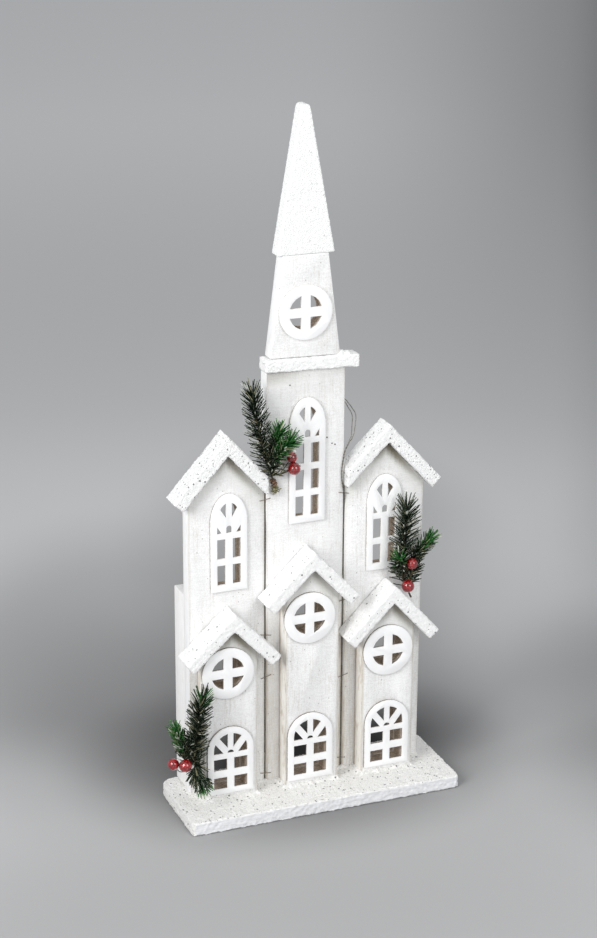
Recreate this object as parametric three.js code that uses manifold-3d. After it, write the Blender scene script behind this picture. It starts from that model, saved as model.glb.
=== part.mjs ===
// Wooden church house: a flat winter decoration cut from boards, with snowy roofs,
// fretwork windows, fir sprigs and a battery light string. Millimetres, +Z up, front to -Y.
import * as THREE from "three";
import { mergeVertices } from "three/addons/utils/BufferGeometryUtils.js";
import Module from "manifold-3d";

const wasm = await Module();
wasm.setup();

// Clearances: under glued pieces cut at an angle, and round pieces that move or drop in
const glueLine = 0.3;
const runningGap = 0.4;

// Base board
const baseWidth = 303;
const baseDepth = 108;
const baseThickness = 15;
const baseCornerRadius = 4;
const baseWornCornerRadius = 14;
const baseCornerSteps = 3;

// Tower boards, side by side, with a narrow groove between neighbours
const towerThickness = 16;
const grooveWidth = 2.2;
const towerRowInset = 20;
const leftTowerWidth = 82.3;
const centreTowerWidth = 84.9;
const rightTowerWidth = 88.2;
const centreTowerHeight = 450.9;

// House boards, glued to the fronts of the towers, each a little off its tower's centre line
const houseThickness = 20;
const houseWidth = 58.6;
const leftHouseShift = -3.45;
const centreHouseShift = 1.45;
const rightHouseShift = -0.8;

// Roof slats
const slatThickness = 14;
const towerRoofDepth = 26;
const houseRoofDepth = 29;

// Each roof, seen from the front: how far its ridge is off the tower's centre line, how high the
// inner corner under the ridge is above the base, the slope of its slats, how far it leans
// clockwise, and each slat's length along its underside
const roofSizes = {
  leftTower: { shift: -0.65, rise: 373.2, pitch: 48.2, lean: 0, leftLength: 71.8, rightLength: 71.8 },
  rightTower: { shift: 0.4, rise: 366.6, pitch: 45.9, lean: 1.6, leftLength: 74.4, rightLength: 74.4 },
  leftHouse: { shift: -1.35, rise: 190.1, pitch: 44.2, lean: 2.2, leftLength: 59, rightLength: 60 },
  centreHouse: { shift: -0.05, rise: 245.2, pitch: 45.7, lean: 1.2, leftLength: 60.6, rightLength: 60 },
  rightHouse: { shift: 1.8, rise: 195, pitch: 46.5, lean: 1.5, leftLength: 62.4, rightLength: 63.2 },
};

// Cornice, spire board and spire cap
const corniceWidth = 102;
const corniceThickness = 13.5;
const corniceShift = 6.15;
const corniceOverhang = 4;
const corniceLean = 1.6;
const spireHeight = 104.6;
const spireBottomWidth = 75.6;
const spireTopWidth = 49.5;
const spireFootShift = -0.65;
const spireTopShift = -1.2;
const capHeight = 148.1;
const capBottomWidth = 62.2;
const capShift = -0.65;
const capTipWidth = 10.8;
const capTipShift = -2.05;
const capTipRadius = 3.6;
const capTipEase = 0.25;
const capTipSteps = 5;

// Fretwork windows, cut from thin sheet, and the openings behind them in the boards
const fretThickness = 3;
const sightMargin = 0.4;
const discArcSteps = 16;
const fretArcSteps = 10;
const lightArcSteps = 7;
const hubArcSteps = 4;
const sillDrop = 4;
const roundWindow = { radius: 28.2, lightRadius: 18, bar: 9.6 };
const lancetWindow = {
  halfWidth: 19.5, archRise: 30.4, wallRise: 11.4, border: 6.7, crown: 9.2, rail: 7.4,
  bar: 7, mullion: 7.8, lightHeight: 21.3, fanSill: 6.4, spoke: 6.2, ray: 12.9,
  rayAngle: 56.5, hubDrop: 0, hubWidth: 6, hubHeight: 7.8,
};
const fanlightWindow = {
  halfWidth: 25.3, archRise: 25.3, wallRise: 4.1, border: 6.8, crown: 7.3, rail: 6,
  bar: 8.2, mullion: 7.8, lightHeight: 13, fanSill: 6.1, spoke: 6.1, ray: 7.3,
  rayAngle: 52, hubDrop: 4, hubWidth: 7.2, hubHeight: 3.4,
};
const shortLancetRows = 2;
const tallLancetRows = 3;
const fanlightRows = 2;

// Each window: how far it is off its board's centre line, and how high its centre or its foot is
// above the base. The spire's is measured from the centre tower's top, and the centre lancet
// from its place midway between the ridge under it and that top.
const windowSizes = {
  spireRound: { shift: -1.65, rise: 60.6 },
  leftHouseRound: { shift: -3.7, rise: 143.1 },
  centreHouseRound: { shift: -4.4, rise: 191 },
  rightHouseRound: { shift: -1.5, rise: 140.6 },
  leftLancet: { shift: 1.85, rise: 225.8 },
  centreLancet: { shift: 1.15, rise: -1.9 },
  rightLancet: { shift: -0.4, rise: 225.2 },
  leftFanlight: { shift: -1.2, rise: 6.6 },
  centreFanlight: { shift: -2.8, rise: 7 },
  rightFanlight: { shift: -1.3, rise: 6.4 },
};

// Rear struts and batten that carry the tower row
const strutDepth = 29.5;
const strutWidth = 15;
const strutHeight = 220;
const battenHeight = 24;
const battenThickness = 15;
const battenRise = 87;

// Wood screws from under the base into the tower boards
const screwHeadRadius = 3.6;
const screwHeadDepth = 2.6;
const screwShankRadius = 1.6;
const screwLength = 40;
const screwPointLength = 5;
const screwSink = 0.5;
const screwInset = 8.5;
const screwSides = 10;
const screwsPerBoard = 2;

// Battery case on the back of the centre tower, for two AA cells side by side
const caseHeight = 36;
const caseWall = 1.6;
const caseRise = 118;
const switchBay = 9;
const coverThickness = 1.4;
const coverLip = 1;
const coverRibHeight = 0.8;
const coverRibWidth = 1.2;
const coverRibSpacing = 3;
const coverRibCount = 5;
const coverRibLength = 16;
const cellRadius = 7.1;
const cellLength = 49.2;
const cellTipRadius = 2.7;
const cellTipLength = 1.3;
const cellEdge = 0.6;
const cellSides = 18;
const contactThickness = 0.5;
const contactWidth = 8;
const springWireRadius = 0.35;
const springTurns = 3;
const springRadius = 2.9;
const springTipRadius = 1.7;
const springLength = 4;
const springWireSides = 5;
const springTurnSteps = 8;
const switchTravel = 3.6;
const switchNubLength = 3.4;
const switchNubWidth = 2.4;
const switchNubRise = 1.8;
const switchFlange = 1.3;
const switchPlateThickness = 1.2;

// Light string: a thin twisted pair with drop-shaped lights on it
const wireRadius = 0.3;
const wireSides = 8;
const wireSteps = 80;
const stringInset = 1.6;
const hairpinWidth = 5.8;
const dropLength = 4;
const dropRadius = 0.8;
const dropSides = 8;
const dropEndShare = 0.6;
const dropBellyShare = 0.33;
const wireHoleRadius = 1.2;
const wireHoleSetIn = 3.2;
const leftDropRises = [31, 97, 157, 217, 275];
const rightDropRises = [37, 103, 161, 221, 277];

// Fir sprigs: twigs set with needles, and berries on bent wires
const twigRadius = 1.3;
const twigSides = 6;
const twigSteps = 10;
const bindingSides = 8;
const needleRadius = 0.45;
const needleSides = 3;
const needleLength = 19;
const needleVariation = 0.22;
const needleSpacing = 1;
const needleSpread = 54;
const needleTipSpread = 26;
const goldenTurn = 137.5;
const goldenShare = 0.618;
const tipBlend = 6;
const needleKeepOff = 0.4;
const gapSteps = 8;
const berryWireRadius = 0.6;
const berryWireSteps = 10;
const berryWireSides = 5;
const berrySides = 12;
const berryRings = 8;
const sprigs = {
  upper: {
    bareStem: 15,
    binding: { from: [10.1, -3.6, 325.9], to: [5.5, -3.6, 340.5], radius: 3.2 },
    twigs: [
      [[9.7, -3.5, 327], [5.6, -3.5, 341], [0.6, -5.5, 356.2], [-5.9, -8.5, 375], [-11.5, -10.5, 394.2],
        [-16, -12.5, 413.1], [-19.6, -13.5, 430.5], [-20.6, -13.5, 437.9]],
      [[0.2, -5.8, 357], [5.7, -14.5, 369.1], [10.9, -20.5, 378.9], [16.7, -24.5, 386.3]],
      [[-0.1, -6.1, 359.7], [1.9, -10.5, 373.6], [5.7, -14.5, 385], [6.8, -18.5, 393.5]],
      [[3.8, -4.4, 346.5], [6, -8.5, 353.3], [9.8, -12.5, 359.5]],
    ],
    berries: [{ at: [24.8, -13.5, 353.2], radius: 6.7 }, { at: [23.7, -9.5, 363.9], radius: 5.7 }],
    berryWire: [[17, -11.5, 347], [12, -7.5, 338.5], [16.5, -8.5, 351]],
  },
  right: {
    bareStem: 14,
    twigs: [
      [[29.9, -7.5, 190], [25.9, -5.5, 200.1], [22.6, -3.5, 210], [19.7, -6.5, 221.8], [18.6, -9.5, 234.4],
        [17.8, -12.5, 258.1], [18.7, -14.5, 281], [18.5, -16.5, 296.7]],
      [[22.6, -4.5, 212.7], [25.2, -9.5, 225.6], [30.5, -13.5, 238.2], [36.9, -16.5, 248.5],
        [43.3, -18.5, 256.2]],
      [[19.8, -6.5, 220.7], [14.2, -14.5, 231.3], [9.5, -20.5, 241]],
    ],
    berries: [{ at: [20.9, -18.5, 208.3], radius: 6.8 }, { at: [24, -20.5, 234], radius: 6.2 }],
    berryWire: [[22.8, -11.5, 203], [24.8, -9.5, 207], [26.3, -15.5, 220]],
  },
  lower: {
    bareStem: 14,
    twigs: [
      [[-1.6, 8.5, 39], [-6.9, 1.5, 42], [-11.7, -2.5, 47.8], [-11.2, -6.5, 70.2], [-9.7, -10.5, 97.9],
        [-7, -14.5, 125.1]],
      [[-11.4, -2.3, 46.6], [-19.2, -0.5, 47.1], [-25.6, -0.5, 62], [-30.8, -0.5, 74.4], [-34, -0.5, 81.8]],
      [[-11.7, -2.6, 48.5], [-15.2, -1.5, 52.1], [-21.5, -4.5, 65.4], [-24.7, -6.5, 75.5]],
      [[-11.2, -2.1, 46], [-13.4, -6.5, 39.5], [-12.8, -9.2, 35], [-11.2, -11.5, 29.6]],
    ],
    berries: [{ at: [-34.4, -1.8, 50.3], radius: 6.2 }, { at: [-23.8, -9, 50.2], radius: 6.8 }],
    berryWire: [[-27.9, -3.5, 41.5], [-15.5, -4.8, 42.5], [-19.9, -6.5, 43.5]],
  },
};

// Places worked out from the driving dimensions
const backY = baseDepth / 2;
const towerBackY = backY - strutDepth;
const towerFrontY = towerBackY - towerThickness;
const houseFrontY = towerFrontY - houseThickness;
const footZ = baseThickness;
const leftTowerX = -baseWidth / 2 + towerRowInset;
const centreTowerX = leftTowerX + leftTowerWidth + grooveWidth;
const rightTowerX = centreTowerX + centreTowerWidth + grooveWidth;
const towerRowRight = rightTowerX + rightTowerWidth;
const leftGrooveX = centreTowerX - grooveWidth / 2;
const rightGrooveX = rightTowerX - grooveWidth / 2;
const leftTowerCentre = leftTowerX + leftTowerWidth / 2;
const centreTowerCentre = centreTowerX + centreTowerWidth / 2;
const rightTowerCentre = rightTowerX + rightTowerWidth / 2;
const leftHouseCentre = leftTowerCentre + leftHouseShift;
const centreHouseCentre = centreTowerCentre + centreHouseShift;
const rightHouseCentre = rightTowerCentre + rightHouseShift;
const corniceCentre = centreTowerCentre + corniceShift;
const spireFootCentre = centreTowerCentre + spireFootShift;
const spireTopCentre = centreTowerCentre + spireTopShift;
const capCentre = centreTowerCentre + capShift;
const capTipCentre = centreTowerCentre + capTipShift;
const centreTowerTop = footZ + centreTowerHeight;
const cutPast = 1;
const weldDistance = 1e-4;
const radians = Math.PI / 180;

// A roof or a window set at its board's centre line and above the base or another height
const setAt = (size, centre, foot = footZ) => (
  { ...size, x: centre + size.shift, z: foot + size.rise });
const roofs = {
  leftTower: setAt(roofSizes.leftTower, leftTowerCentre),
  rightTower: setAt(roofSizes.rightTower, rightTowerCentre),
  leftHouse: setAt(roofSizes.leftHouse, leftTowerCentre),
  centreHouse: setAt(roofSizes.centreHouse, centreTowerCentre),
  rightHouse: setAt(roofSizes.rightHouse, rightTowerCentre),
};
const centreRidgeZ = roofs.centreHouse.z + slatThickness / Math.cos(roofs.centreHouse.pitch * radians);
const tallLancetHeight = archedSizes(lancetWindow, tallLancetRows).spring + lancetWindow.archRise;
const centreLancetFoot = (centreRidgeZ + centreTowerTop - tallLancetHeight) / 2;
const windowPlaces = {
  spireRound: setAt(windowSizes.spireRound, centreTowerCentre, centreTowerTop),
  leftHouseRound: setAt(windowSizes.leftHouseRound, leftHouseCentre),
  centreHouseRound: setAt(windowSizes.centreHouseRound, centreHouseCentre),
  rightHouseRound: setAt(windowSizes.rightHouseRound, rightHouseCentre),
  leftLancet: setAt(windowSizes.leftLancet, leftTowerCentre),
  centreLancet: setAt(windowSizes.centreLancet, centreTowerCentre, centreLancetFoot),
  rightLancet: setAt(windowSizes.rightLancet, rightTowerCentre),
  leftFanlight: setAt(windowSizes.leftFanlight, leftHouseCentre),
  centreFanlight: setAt(windowSizes.centreFanlight, centreHouseCentre),
  rightFanlight: setAt(windowSizes.rightFanlight, rightHouseCentre),
};

// Where each sprig is set: the points of its twigs and berries are measured from here
const sprigPlaces = {
  upper: [centreTowerX, towerFrontY, footZ],
  right: [rightTowerCentre, towerFrontY, footZ],
  lower: [leftHouseCentre - houseWidth / 2, houseFrontY, footZ],
};

const materials = {
  paintedWood: new THREE.MeshStandardMaterial({ color: 0xf1f1ee, roughness: 0.85, metalness: 0 }),
  snowyWood: new THREE.MeshStandardMaterial({ color: 0xf7f7f4, roughness: 0.95, metalness: 0 }),
  fretSheet: new THREE.MeshStandardMaterial({ color: 0xf6f6f6, roughness: 0.6, metalness: 0 }),
  blackPlastic: new THREE.MeshStandardMaterial({ color: 0x1c1c1e, roughness: 0.5, metalness: 0 }),
  cellWrap: new THREE.MeshStandardMaterial({ color: 0x3c4a5c, roughness: 0.35, metalness: 0.2 }),
  nickel: new THREE.MeshStandardMaterial({ color: 0xb9b9b4, roughness: 0.3, metalness: 1 }),
  silverWire: new THREE.MeshStandardMaterial({ color: 0xa9a79d, roughness: 0.35, metalness: 0.9 }),
  firNeedles: new THREE.MeshStandardMaterial({ color: 0x24402a, roughness: 0.7, metalness: 0 }),
  redBerry: new THREE.MeshStandardMaterial({ color: 0x9c1f22, roughness: 0.2, metalness: 0 }),
  steel: new THREE.MeshStandardMaterial({ color: 0x8f9194, roughness: 0.4, metalness: 1 }),
};

const church = new THREE.Group();

function place(name, geometry, material) {
  const mesh = new THREE.Mesh(geometry, material);
  mesh.name = name;
  church.add(mesh);
  return mesh;
}

// Booleans: a closed geometry becomes a solid, and a solid becomes a geometry again
function solidFrom(geometry) {
  const bare = geometry.clone();
  bare.deleteAttribute("normal");
  bare.deleteAttribute("uv");
  const merged = mergeVertices(bare, weldDistance);
  const vertProperties = new Float32Array(merged.attributes.position.array);
  const triVerts = new Uint32Array(merged.index.array);
  return new wasm.Manifold(new wasm.Mesh({ numProp: 3, vertProperties, triVerts }));
}

function geometryFrom(solid) {
  const mesh = solid.getMesh();
  const geometry = new THREE.BufferGeometry();
  geometry.setAttribute("position", new THREE.BufferAttribute(mesh.vertProperties, 3));
  geometry.setIndex(new THREE.BufferAttribute(mesh.triVerts, 1));
  return geometry;
}

const cutAll = (solid, cutters) => cutters.reduce((left, cutter) => left.subtract(cutter), solid);
const joinAll = (solids) => solids.reduce((whole, solid) => whole.add(solid));

// A flat outline in X and Z, as thick as depth, with its front face at frontY
function boardFrom(shape, frontY, depth, curveSegments = 12) {
  const geometry = new THREE.ExtrudeGeometry(shape, { depth, bevelEnabled: false, curveSegments });
  geometry.rotateX(Math.PI / 2);
  geometry.translate(0, frontY + depth, 0);
  return geometry;
}

const boardSolid = (shape, frontY, depth, curveSegments) => (
  solidFrom(boardFrom(shape, frontY, depth, curveSegments)));

function boxSolid(x0, x1, y0, y1, z0, z1) {
  const geometry = new THREE.BoxGeometry(x1 - x0, y1 - y0, z1 - z0);
  geometry.translate((x0 + x1) / 2, (y0 + y1) / 2, (z0 + z1) / 2);
  return solidFrom(geometry);
}

function boxPiece(name, material, x0, x1, y0, y1, z0, z1) {
  return place(name, geometryFrom(boxSolid(x0, x1, y0, y1, z0, z1)), material);
}

const outline = (points) => new THREE.Shape(points.map(([x, z]) => new THREE.Vector2(x, z)));

// A regular outline with the given number of sides
function polygonShape(radius, sides) {
  const corners = Array.from({ length: sides }, (_, index) => {
    const angle = (index / sides) * Math.PI * 2;
    return [radius * Math.cos(angle), radius * Math.sin(angle)];
  });
  return outline(corners);
}

function circleShape(x, z, radius) {
  const shape = new THREE.Shape();
  shape.absarc(x, z, radius, 0, Math.PI * 2, false);
  return shape;
}

// Outline with straight walls up to springZ and a half ellipse over them
function archShape(x, bottomZ, springZ, halfWidth, rise) {
  const shape = new THREE.Shape();
  shape.moveTo(x - halfWidth, bottomZ);
  shape.lineTo(x + halfWidth, bottomZ);
  shape.absellipse(x, springZ, halfWidth, rise, 0, Math.PI, false);
  shape.closePath();
  return shape;
}

// Roofs: the two slats' directions and the normals of their tops
function roofFrame(roof) {
  const leftSlope = (roof.pitch - roof.lean) * radians;
  const rightSlope = (roof.pitch + roof.lean) * radians;
  return {
    apex: new THREE.Vector2(roof.x, roof.z),
    left: new THREE.Vector2(-Math.cos(leftSlope), -Math.sin(leftSlope)),
    right: new THREE.Vector2(Math.cos(rightSlope), -Math.sin(rightSlope)),
    leftUp: new THREE.Vector2(-Math.sin(leftSlope), Math.cos(leftSlope)),
    rightUp: new THREE.Vector2(Math.sin(rightSlope), Math.cos(rightSlope)),
    leftSlope,
    rightSlope,
  };
}

// Where the line from p along d meets the line from q along e
function crossing(p, d, q, e) {
  const along = ((q.x - p.x) * e.y - (q.y - p.y) * e.x) / (d.x * e.y - d.y * e.x);
  return p.clone().addScaledVector(d, along);
}

// Height of a board's top at x under a roof, a glue line below the slats
function topUnder(roof, x) {
  const { leftSlope, rightSlope } = roofFrame(roof);
  const slope = x < roof.x ? leftSlope : rightSlope;
  return roof.z - Math.abs(x - roof.x) * Math.tan(slope) - glueLine / Math.cos(slope);
}

// The left slat laps over the upper end of the right one. The slat named by wall.cut ends
// plumb against the side of the tower at wall.x, and every other end is square.
function slatShapes(roof, wall) {
  const { apex, left, right, leftUp, rightUp } = roofFrame(roof);
  const leftTop = apex.clone().addScaledVector(leftUp, slatThickness);
  const rightTop = apex.clone().addScaledVector(rightUp, slatThickness);
  const ridge = crossing(leftTop, left, rightTop, right);
  const lap = crossing(apex, left, rightTop, right);
  const plumb = new THREE.Vector2(0, 1);
  const endOf = (start, way, length, side) => (wall.cut === side
    ? crossing(start, way, new THREE.Vector2(wall.x, 0), plumb)
    : start.clone().addScaledVector(way, length));
  const seam = right.clone().multiplyScalar(glueLine);
  const leftShape = new THREE.Shape([
    endOf(apex, left, roof.leftLength, "left"), lap, ridge,
    endOf(leftTop, left, roof.leftLength, "left"),
  ]);
  const rightShape = new THREE.Shape([
    apex.clone().add(seam), endOf(apex, right, roof.rightLength, "right"),
    endOf(rightTop, right, roof.rightLength, "right"), lap.clone().add(seam),
  ]);
  return { leftShape, rightShape };
}

function roofPair(name, roof, wall, backEdgeY, depth) {
  const { leftShape, rightShape } = slatShapes(roof, wall);
  const frontY = backEdgeY - depth;
  place(`${name}_roof_left_slat`, boardFrom(leftShape, frontY, depth), materials.snowyWood);
  place(`${name}_roof_right_slat`, boardFrom(rightShape, frontY, depth), materials.snowyWood);
}

function buildRoofs() {
  const openEnds = { cut: "none", x: 0 };
  const centreTowerRight = rightTowerX - grooveWidth;
  const leftWall = { cut: "right", x: centreTowerX - glueLine };
  const rightWall = { cut: "left", x: centreTowerRight + glueLine };
  const houseRoofBackY = towerFrontY - glueLine;
  roofPair("left_tower", roofs.leftTower, leftWall, towerBackY, towerRoofDepth);
  roofPair("right_tower", roofs.rightTower, rightWall, towerBackY, towerRoofDepth);
  roofPair("left_house", roofs.leftHouse, openEnds, houseRoofBackY, houseRoofDepth);
  roofPair("centre_house", roofs.centreHouse, openEnds, houseRoofBackY, houseRoofDepth);
  roofPair("right_house", roofs.rightHouse, openEnds, houseRoofBackY, houseRoofDepth);
}

// Fretwork: the sizes that follow from a window's own values
function archedSizes(window, rows) {
  const fanBase = window.rail + rows * (window.lightHeight + window.bar) - window.bar + window.fanSill;
  return {
    fanBase,
    spring: fanBase + window.wallRise,
    lightHalf: window.halfWidth - window.border,
    lightRise: window.archRise - window.crown,
  };
}

// The lights of an arched window: rows of two panes under a fan of four, round a small hub
function archedLights(window, rows, at, frontY, depth) {
  const { fanBase, spring, lightHalf, lightRise } = archedSizes(window, rows);
  const y0 = frontY - cutPast;
  const y1 = frontY + depth + cutPast;
  const lights = [];
  for (let row = 0; row < rows; row += 1) {
    const bottom = at.z + window.rail + row * (window.lightHeight + window.bar);
    for (const side of [-1, 1]) {
      const inner = at.x + side * window.mullion / 2;
      const outer = at.x + side * lightHalf;
      lights.push(boxSolid(Math.min(inner, outer), Math.max(inner, outer), y0, y1,
        bottom, bottom + window.lightHeight));
    }
  }
  const fanZ = at.z + fanBase;
  const fanShape = archShape(at.x, fanZ, at.z + spring, lightHalf, lightRise);
  const reach = window.halfWidth + window.archRise;
  const spokeHalf = window.spoke / 2;
  const spokes = [boxSolid(at.x - spokeHalf, at.x + spokeHalf, y0, y1, fanZ - reach, fanZ + reach)];
  for (const angle of [window.rayAngle, 180 - window.rayAngle]) {
    const ray = new THREE.BoxGeometry(reach * 2, y1 - y0 + cutPast, window.ray);
    ray.translate(reach, 0, 0);
    ray.rotateY(-angle * radians);
    ray.translate(at.x, (y0 + y1) / 2, fanZ - window.hubDrop);
    spokes.push(solidFrom(ray));
  }
  lights.push(cutAll(boardSolid(fanShape, y0, y1 - y0, lightArcSteps), spokes));
  const hubSpring = fanZ + window.hubHeight - window.hubWidth / 2;
  const hubShape = archShape(at.x, fanZ, Math.max(hubSpring, fanZ), window.hubWidth / 2,
    Math.min(window.hubWidth / 2, window.hubHeight));
  lights.push(boardSolid(hubShape, y0, y1 - y0, hubArcSteps));
  return lights;
}

function archedFret(name, window, rows, at, wallY) {
  const { spring } = archedSizes(window, rows);
  const frontY = wallY - fretThickness;
  const shape = archShape(at.x, at.z, at.z + spring, window.halfWidth, window.archRise);
  const sheet = boardSolid(shape, frontY, fretThickness, fretArcSteps);
  const fret = cutAll(sheet, archedLights(window, rows, at, frontY, fretThickness));
  place(name, geometryFrom(fret), materials.fretSheet);
}

// The opening in the boards behind an arched fret, hidden by its borders
function archedOpening(window, rows, at, frontY, depth) {
  const { spring, lightHalf, lightRise } = archedSizes(window, rows);
  const bottom = at.z + window.rail - Math.min(sillDrop, window.rail - sightMargin);
  const shape = archShape(at.x, bottom, at.z + spring, lightHalf + sightMargin, lightRise + sightMargin);
  return boardSolid(shape, frontY - cutPast, depth + cutPast * 2, lightArcSteps);
}

function roundFret(name, at, wallY) {
  const frontY = wallY - fretThickness;
  const y0 = frontY - cutPast;
  const depth = fretThickness + cutPast * 2;
  const { radius, lightRadius, bar } = roundWindow;
  const y1 = y0 + depth;
  const bars = [
    boxSolid(at.x - bar / 2, at.x + bar / 2, y0 - cutPast, y1 + cutPast, at.z - radius, at.z + radius),
    boxSolid(at.x - radius, at.x + radius, y0 - cutPast, y1 + cutPast, at.z - bar / 2, at.z + bar / 2),
  ];
  const lights = cutAll(boardSolid(circleShape(at.x, at.z, lightRadius), y0, depth, fretArcSteps), bars);
  const disc = boardSolid(circleShape(at.x, at.z, radius), frontY, fretThickness, discArcSteps);
  place(name, geometryFrom(disc.subtract(lights)), materials.fretSheet);
}

function roundOpening(at, frontY, depth) {
  const shape = circleShape(at.x, at.z, roundWindow.lightRadius + sightMargin);
  return boardSolid(shape, frontY - cutPast, depth + cutPast * 2, fretArcSteps);
}

function buildWindows() {
  const at = windowPlaces;
  roundFret("spire_round_window", at.spireRound, towerFrontY);
  archedFret("left_tower_lancet_window", lancetWindow, shortLancetRows, at.leftLancet, towerFrontY);
  archedFret("centre_tower_lancet_window", lancetWindow, tallLancetRows, at.centreLancet, towerFrontY);
  archedFret("right_tower_lancet_window", lancetWindow, shortLancetRows, at.rightLancet, towerFrontY);
  const houses = [
    ["left_house", at.leftHouseRound, at.leftFanlight],
    ["centre_house", at.centreHouseRound, at.centreFanlight],
    ["right_house", at.rightHouseRound, at.rightFanlight],
  ];
  for (const [name, round, fanlight] of houses) {
    roundFret(`${name}_round_window`, round, houseFrontY);
    archedFret(`${name}_door_window`, fanlightWindow, fanlightRows, fanlight, houseFrontY);
  }
}

// A wood screw standing on its head, from under the base
function screwGeometry(clearance) {
  const head = screwHeadRadius + clearance;
  const shank = screwShankRadius + clearance;
  const tip = screwLength + clearance;
  const foot = clearance > 0 ? -screwSink - cutPast : 0;
  const profile = [
    [0, foot], [head, foot], [head, clearance], [shank, screwHeadDepth + clearance],
    [shank, tip - screwPointLength], [0, tip],
  ].map(([radius, height]) => new THREE.Vector2(radius, height));
  const screw = new THREE.LatheGeometry(profile, screwSides);
  screw.rotateX(Math.PI / 2);
  return screw;
}

const screwY = (towerFrontY + towerBackY) / 2;
const screwPlaces = [
  leftTowerX + screwInset, leftTowerX + leftTowerWidth - screwInset,
  centreTowerX + screwInset, centreTowerX + centreTowerWidth - screwInset,
  rightTowerX + screwInset, towerRowRight - screwInset,
];

function screwHoles() {
  return screwPlaces.map((x) => solidFrom(screwGeometry(glueLine).translate(x, screwY, screwSink)));
}

function buildScrews() {
  screwPlaces.forEach((x, index) => {
    place(`base_screw_${index + 1}`, screwGeometry(0).translate(x, screwY, screwSink), materials.steel);
  });
}

// Boards with a pointed top under a roof
function gabledShape(x0, x1, roof) {
  return outline([
    [x0, footZ], [x1, footZ], [x1, topUnder(roof, x1)],
    [roof.x, topUnder(roof, roof.x)], [x0, topUnder(roof, x0)],
  ]);
}

function buildTowers() {
  const at = windowPlaces;
  const behindHouse = (round, fanlight) => [
    roundOpening(round, towerFrontY, towerThickness),
    archedOpening(fanlightWindow, fanlightRows, fanlight, towerFrontY, towerThickness),
  ];
  const lancet = (window, rows) => archedOpening(lancetWindow, rows, window, towerFrontY, towerThickness);
  const holes = screwHoles();
  const boards = [
    ["left_tower_board", gabledShape(leftTowerX, leftTowerX + leftTowerWidth, roofs.leftTower),
      [lancet(at.leftLancet, shortLancetRows), ...behindHouse(at.leftHouseRound, at.leftFanlight)]],
    ["centre_tower_board", centreTowerShape(),
      [lancet(at.centreLancet, tallLancetRows), ...behindHouse(at.centreHouseRound, at.centreFanlight)]],
    ["right_tower_board", gabledShape(rightTowerX, towerRowRight, roofs.rightTower),
      [lancet(at.rightLancet, shortLancetRows), ...behindHouse(at.rightHouseRound, at.rightFanlight)]],
  ];
  boards.forEach(([name, shape, openings], index) => {
    const screws = holes.slice(index * screwsPerBoard, (index + 1) * screwsPerBoard);
    const board = cutAll(boardSolid(shape, towerFrontY, towerThickness), [...openings, ...screws]);
    place(name, geometryFrom(board), materials.paintedWood);
  });
}

function buildHouses() {
  const at = windowPlaces;
  const houses = [
    ["left_house_board", leftHouseCentre, roofs.leftHouse, at.leftHouseRound, at.leftFanlight],
    ["centre_house_board", centreHouseCentre, roofs.centreHouse, at.centreHouseRound, at.centreFanlight],
    ["right_house_board", rightHouseCentre, roofs.rightHouse, at.rightHouseRound, at.rightFanlight],
  ];
  for (const [name, centre, roof, round, fanlight] of houses) {
    const shape = gabledShape(centre - houseWidth / 2, centre + houseWidth / 2, roof);
    const board = cutAll(boardSolid(shape, houseFrontY, houseThickness), [
      roundOpening(round, houseFrontY, houseThickness),
      archedOpening(fanlightWindow, fanlightRows, fanlight, houseFrontY, houseThickness),
    ]);
    place(name, geometryFrom(board), materials.paintedWood);
  }
}

// The cornice leans a little, and the tower's top and the spire's foot are cut to it
const corniceSlope = Math.tan(corniceLean * radians);
const corniceRise = corniceThickness / Math.cos(corniceLean * radians);
const leaningZ = (x, lift) => centreTowerTop + lift - corniceSlope * (x - corniceCentre);
const spireFootLift = glueLine + corniceRise + glueLine;
const spireTopZ = centreTowerTop + spireFootLift + spireHeight;

function centreTowerShape() {
  const x0 = centreTowerX;
  const x1 = centreTowerX + centreTowerWidth;
  return outline([[x0, footZ], [x1, footZ], [x1, leaningZ(x1, 0)], [x0, leaningZ(x0, 0)]]);
}

function buildCornice() {
  const x0 = corniceCentre - corniceWidth / 2;
  const x1 = corniceCentre + corniceWidth / 2;
  const skew = corniceThickness * Math.sin(corniceLean * radians);
  const top = glueLine + corniceRise;
  const shape = outline([
    [x0, leaningZ(x0, glueLine)], [x1, leaningZ(x1, glueLine)],
    [x1 + skew, leaningZ(x1 + skew, top)], [x0 + skew, leaningZ(x0 + skew, top)],
  ]);
  const cornice = boardFrom(shape, towerFrontY - corniceOverhang, towerThickness + corniceOverhang);
  place("tower_cornice", cornice, materials.snowyWood);
}

function buildSpire() {
  const footLeft = spireFootCentre - spireBottomWidth / 2;
  const footRight = spireFootCentre + spireBottomWidth / 2;
  const shape = outline([
    [footLeft, leaningZ(footLeft, spireFootLift)], [footRight, leaningZ(footRight, spireFootLift)],
    [spireTopCentre + spireTopWidth / 2, spireTopZ], [spireTopCentre - spireTopWidth / 2, spireTopZ],
  ]);
  const board = boardSolid(shape, towerFrontY, towerThickness)
    .subtract(roundOpening(windowPlaces.spireRound, towerFrontY, towerThickness));
  place("spire_board", geometryFrom(board), materials.paintedWood);
}

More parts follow.
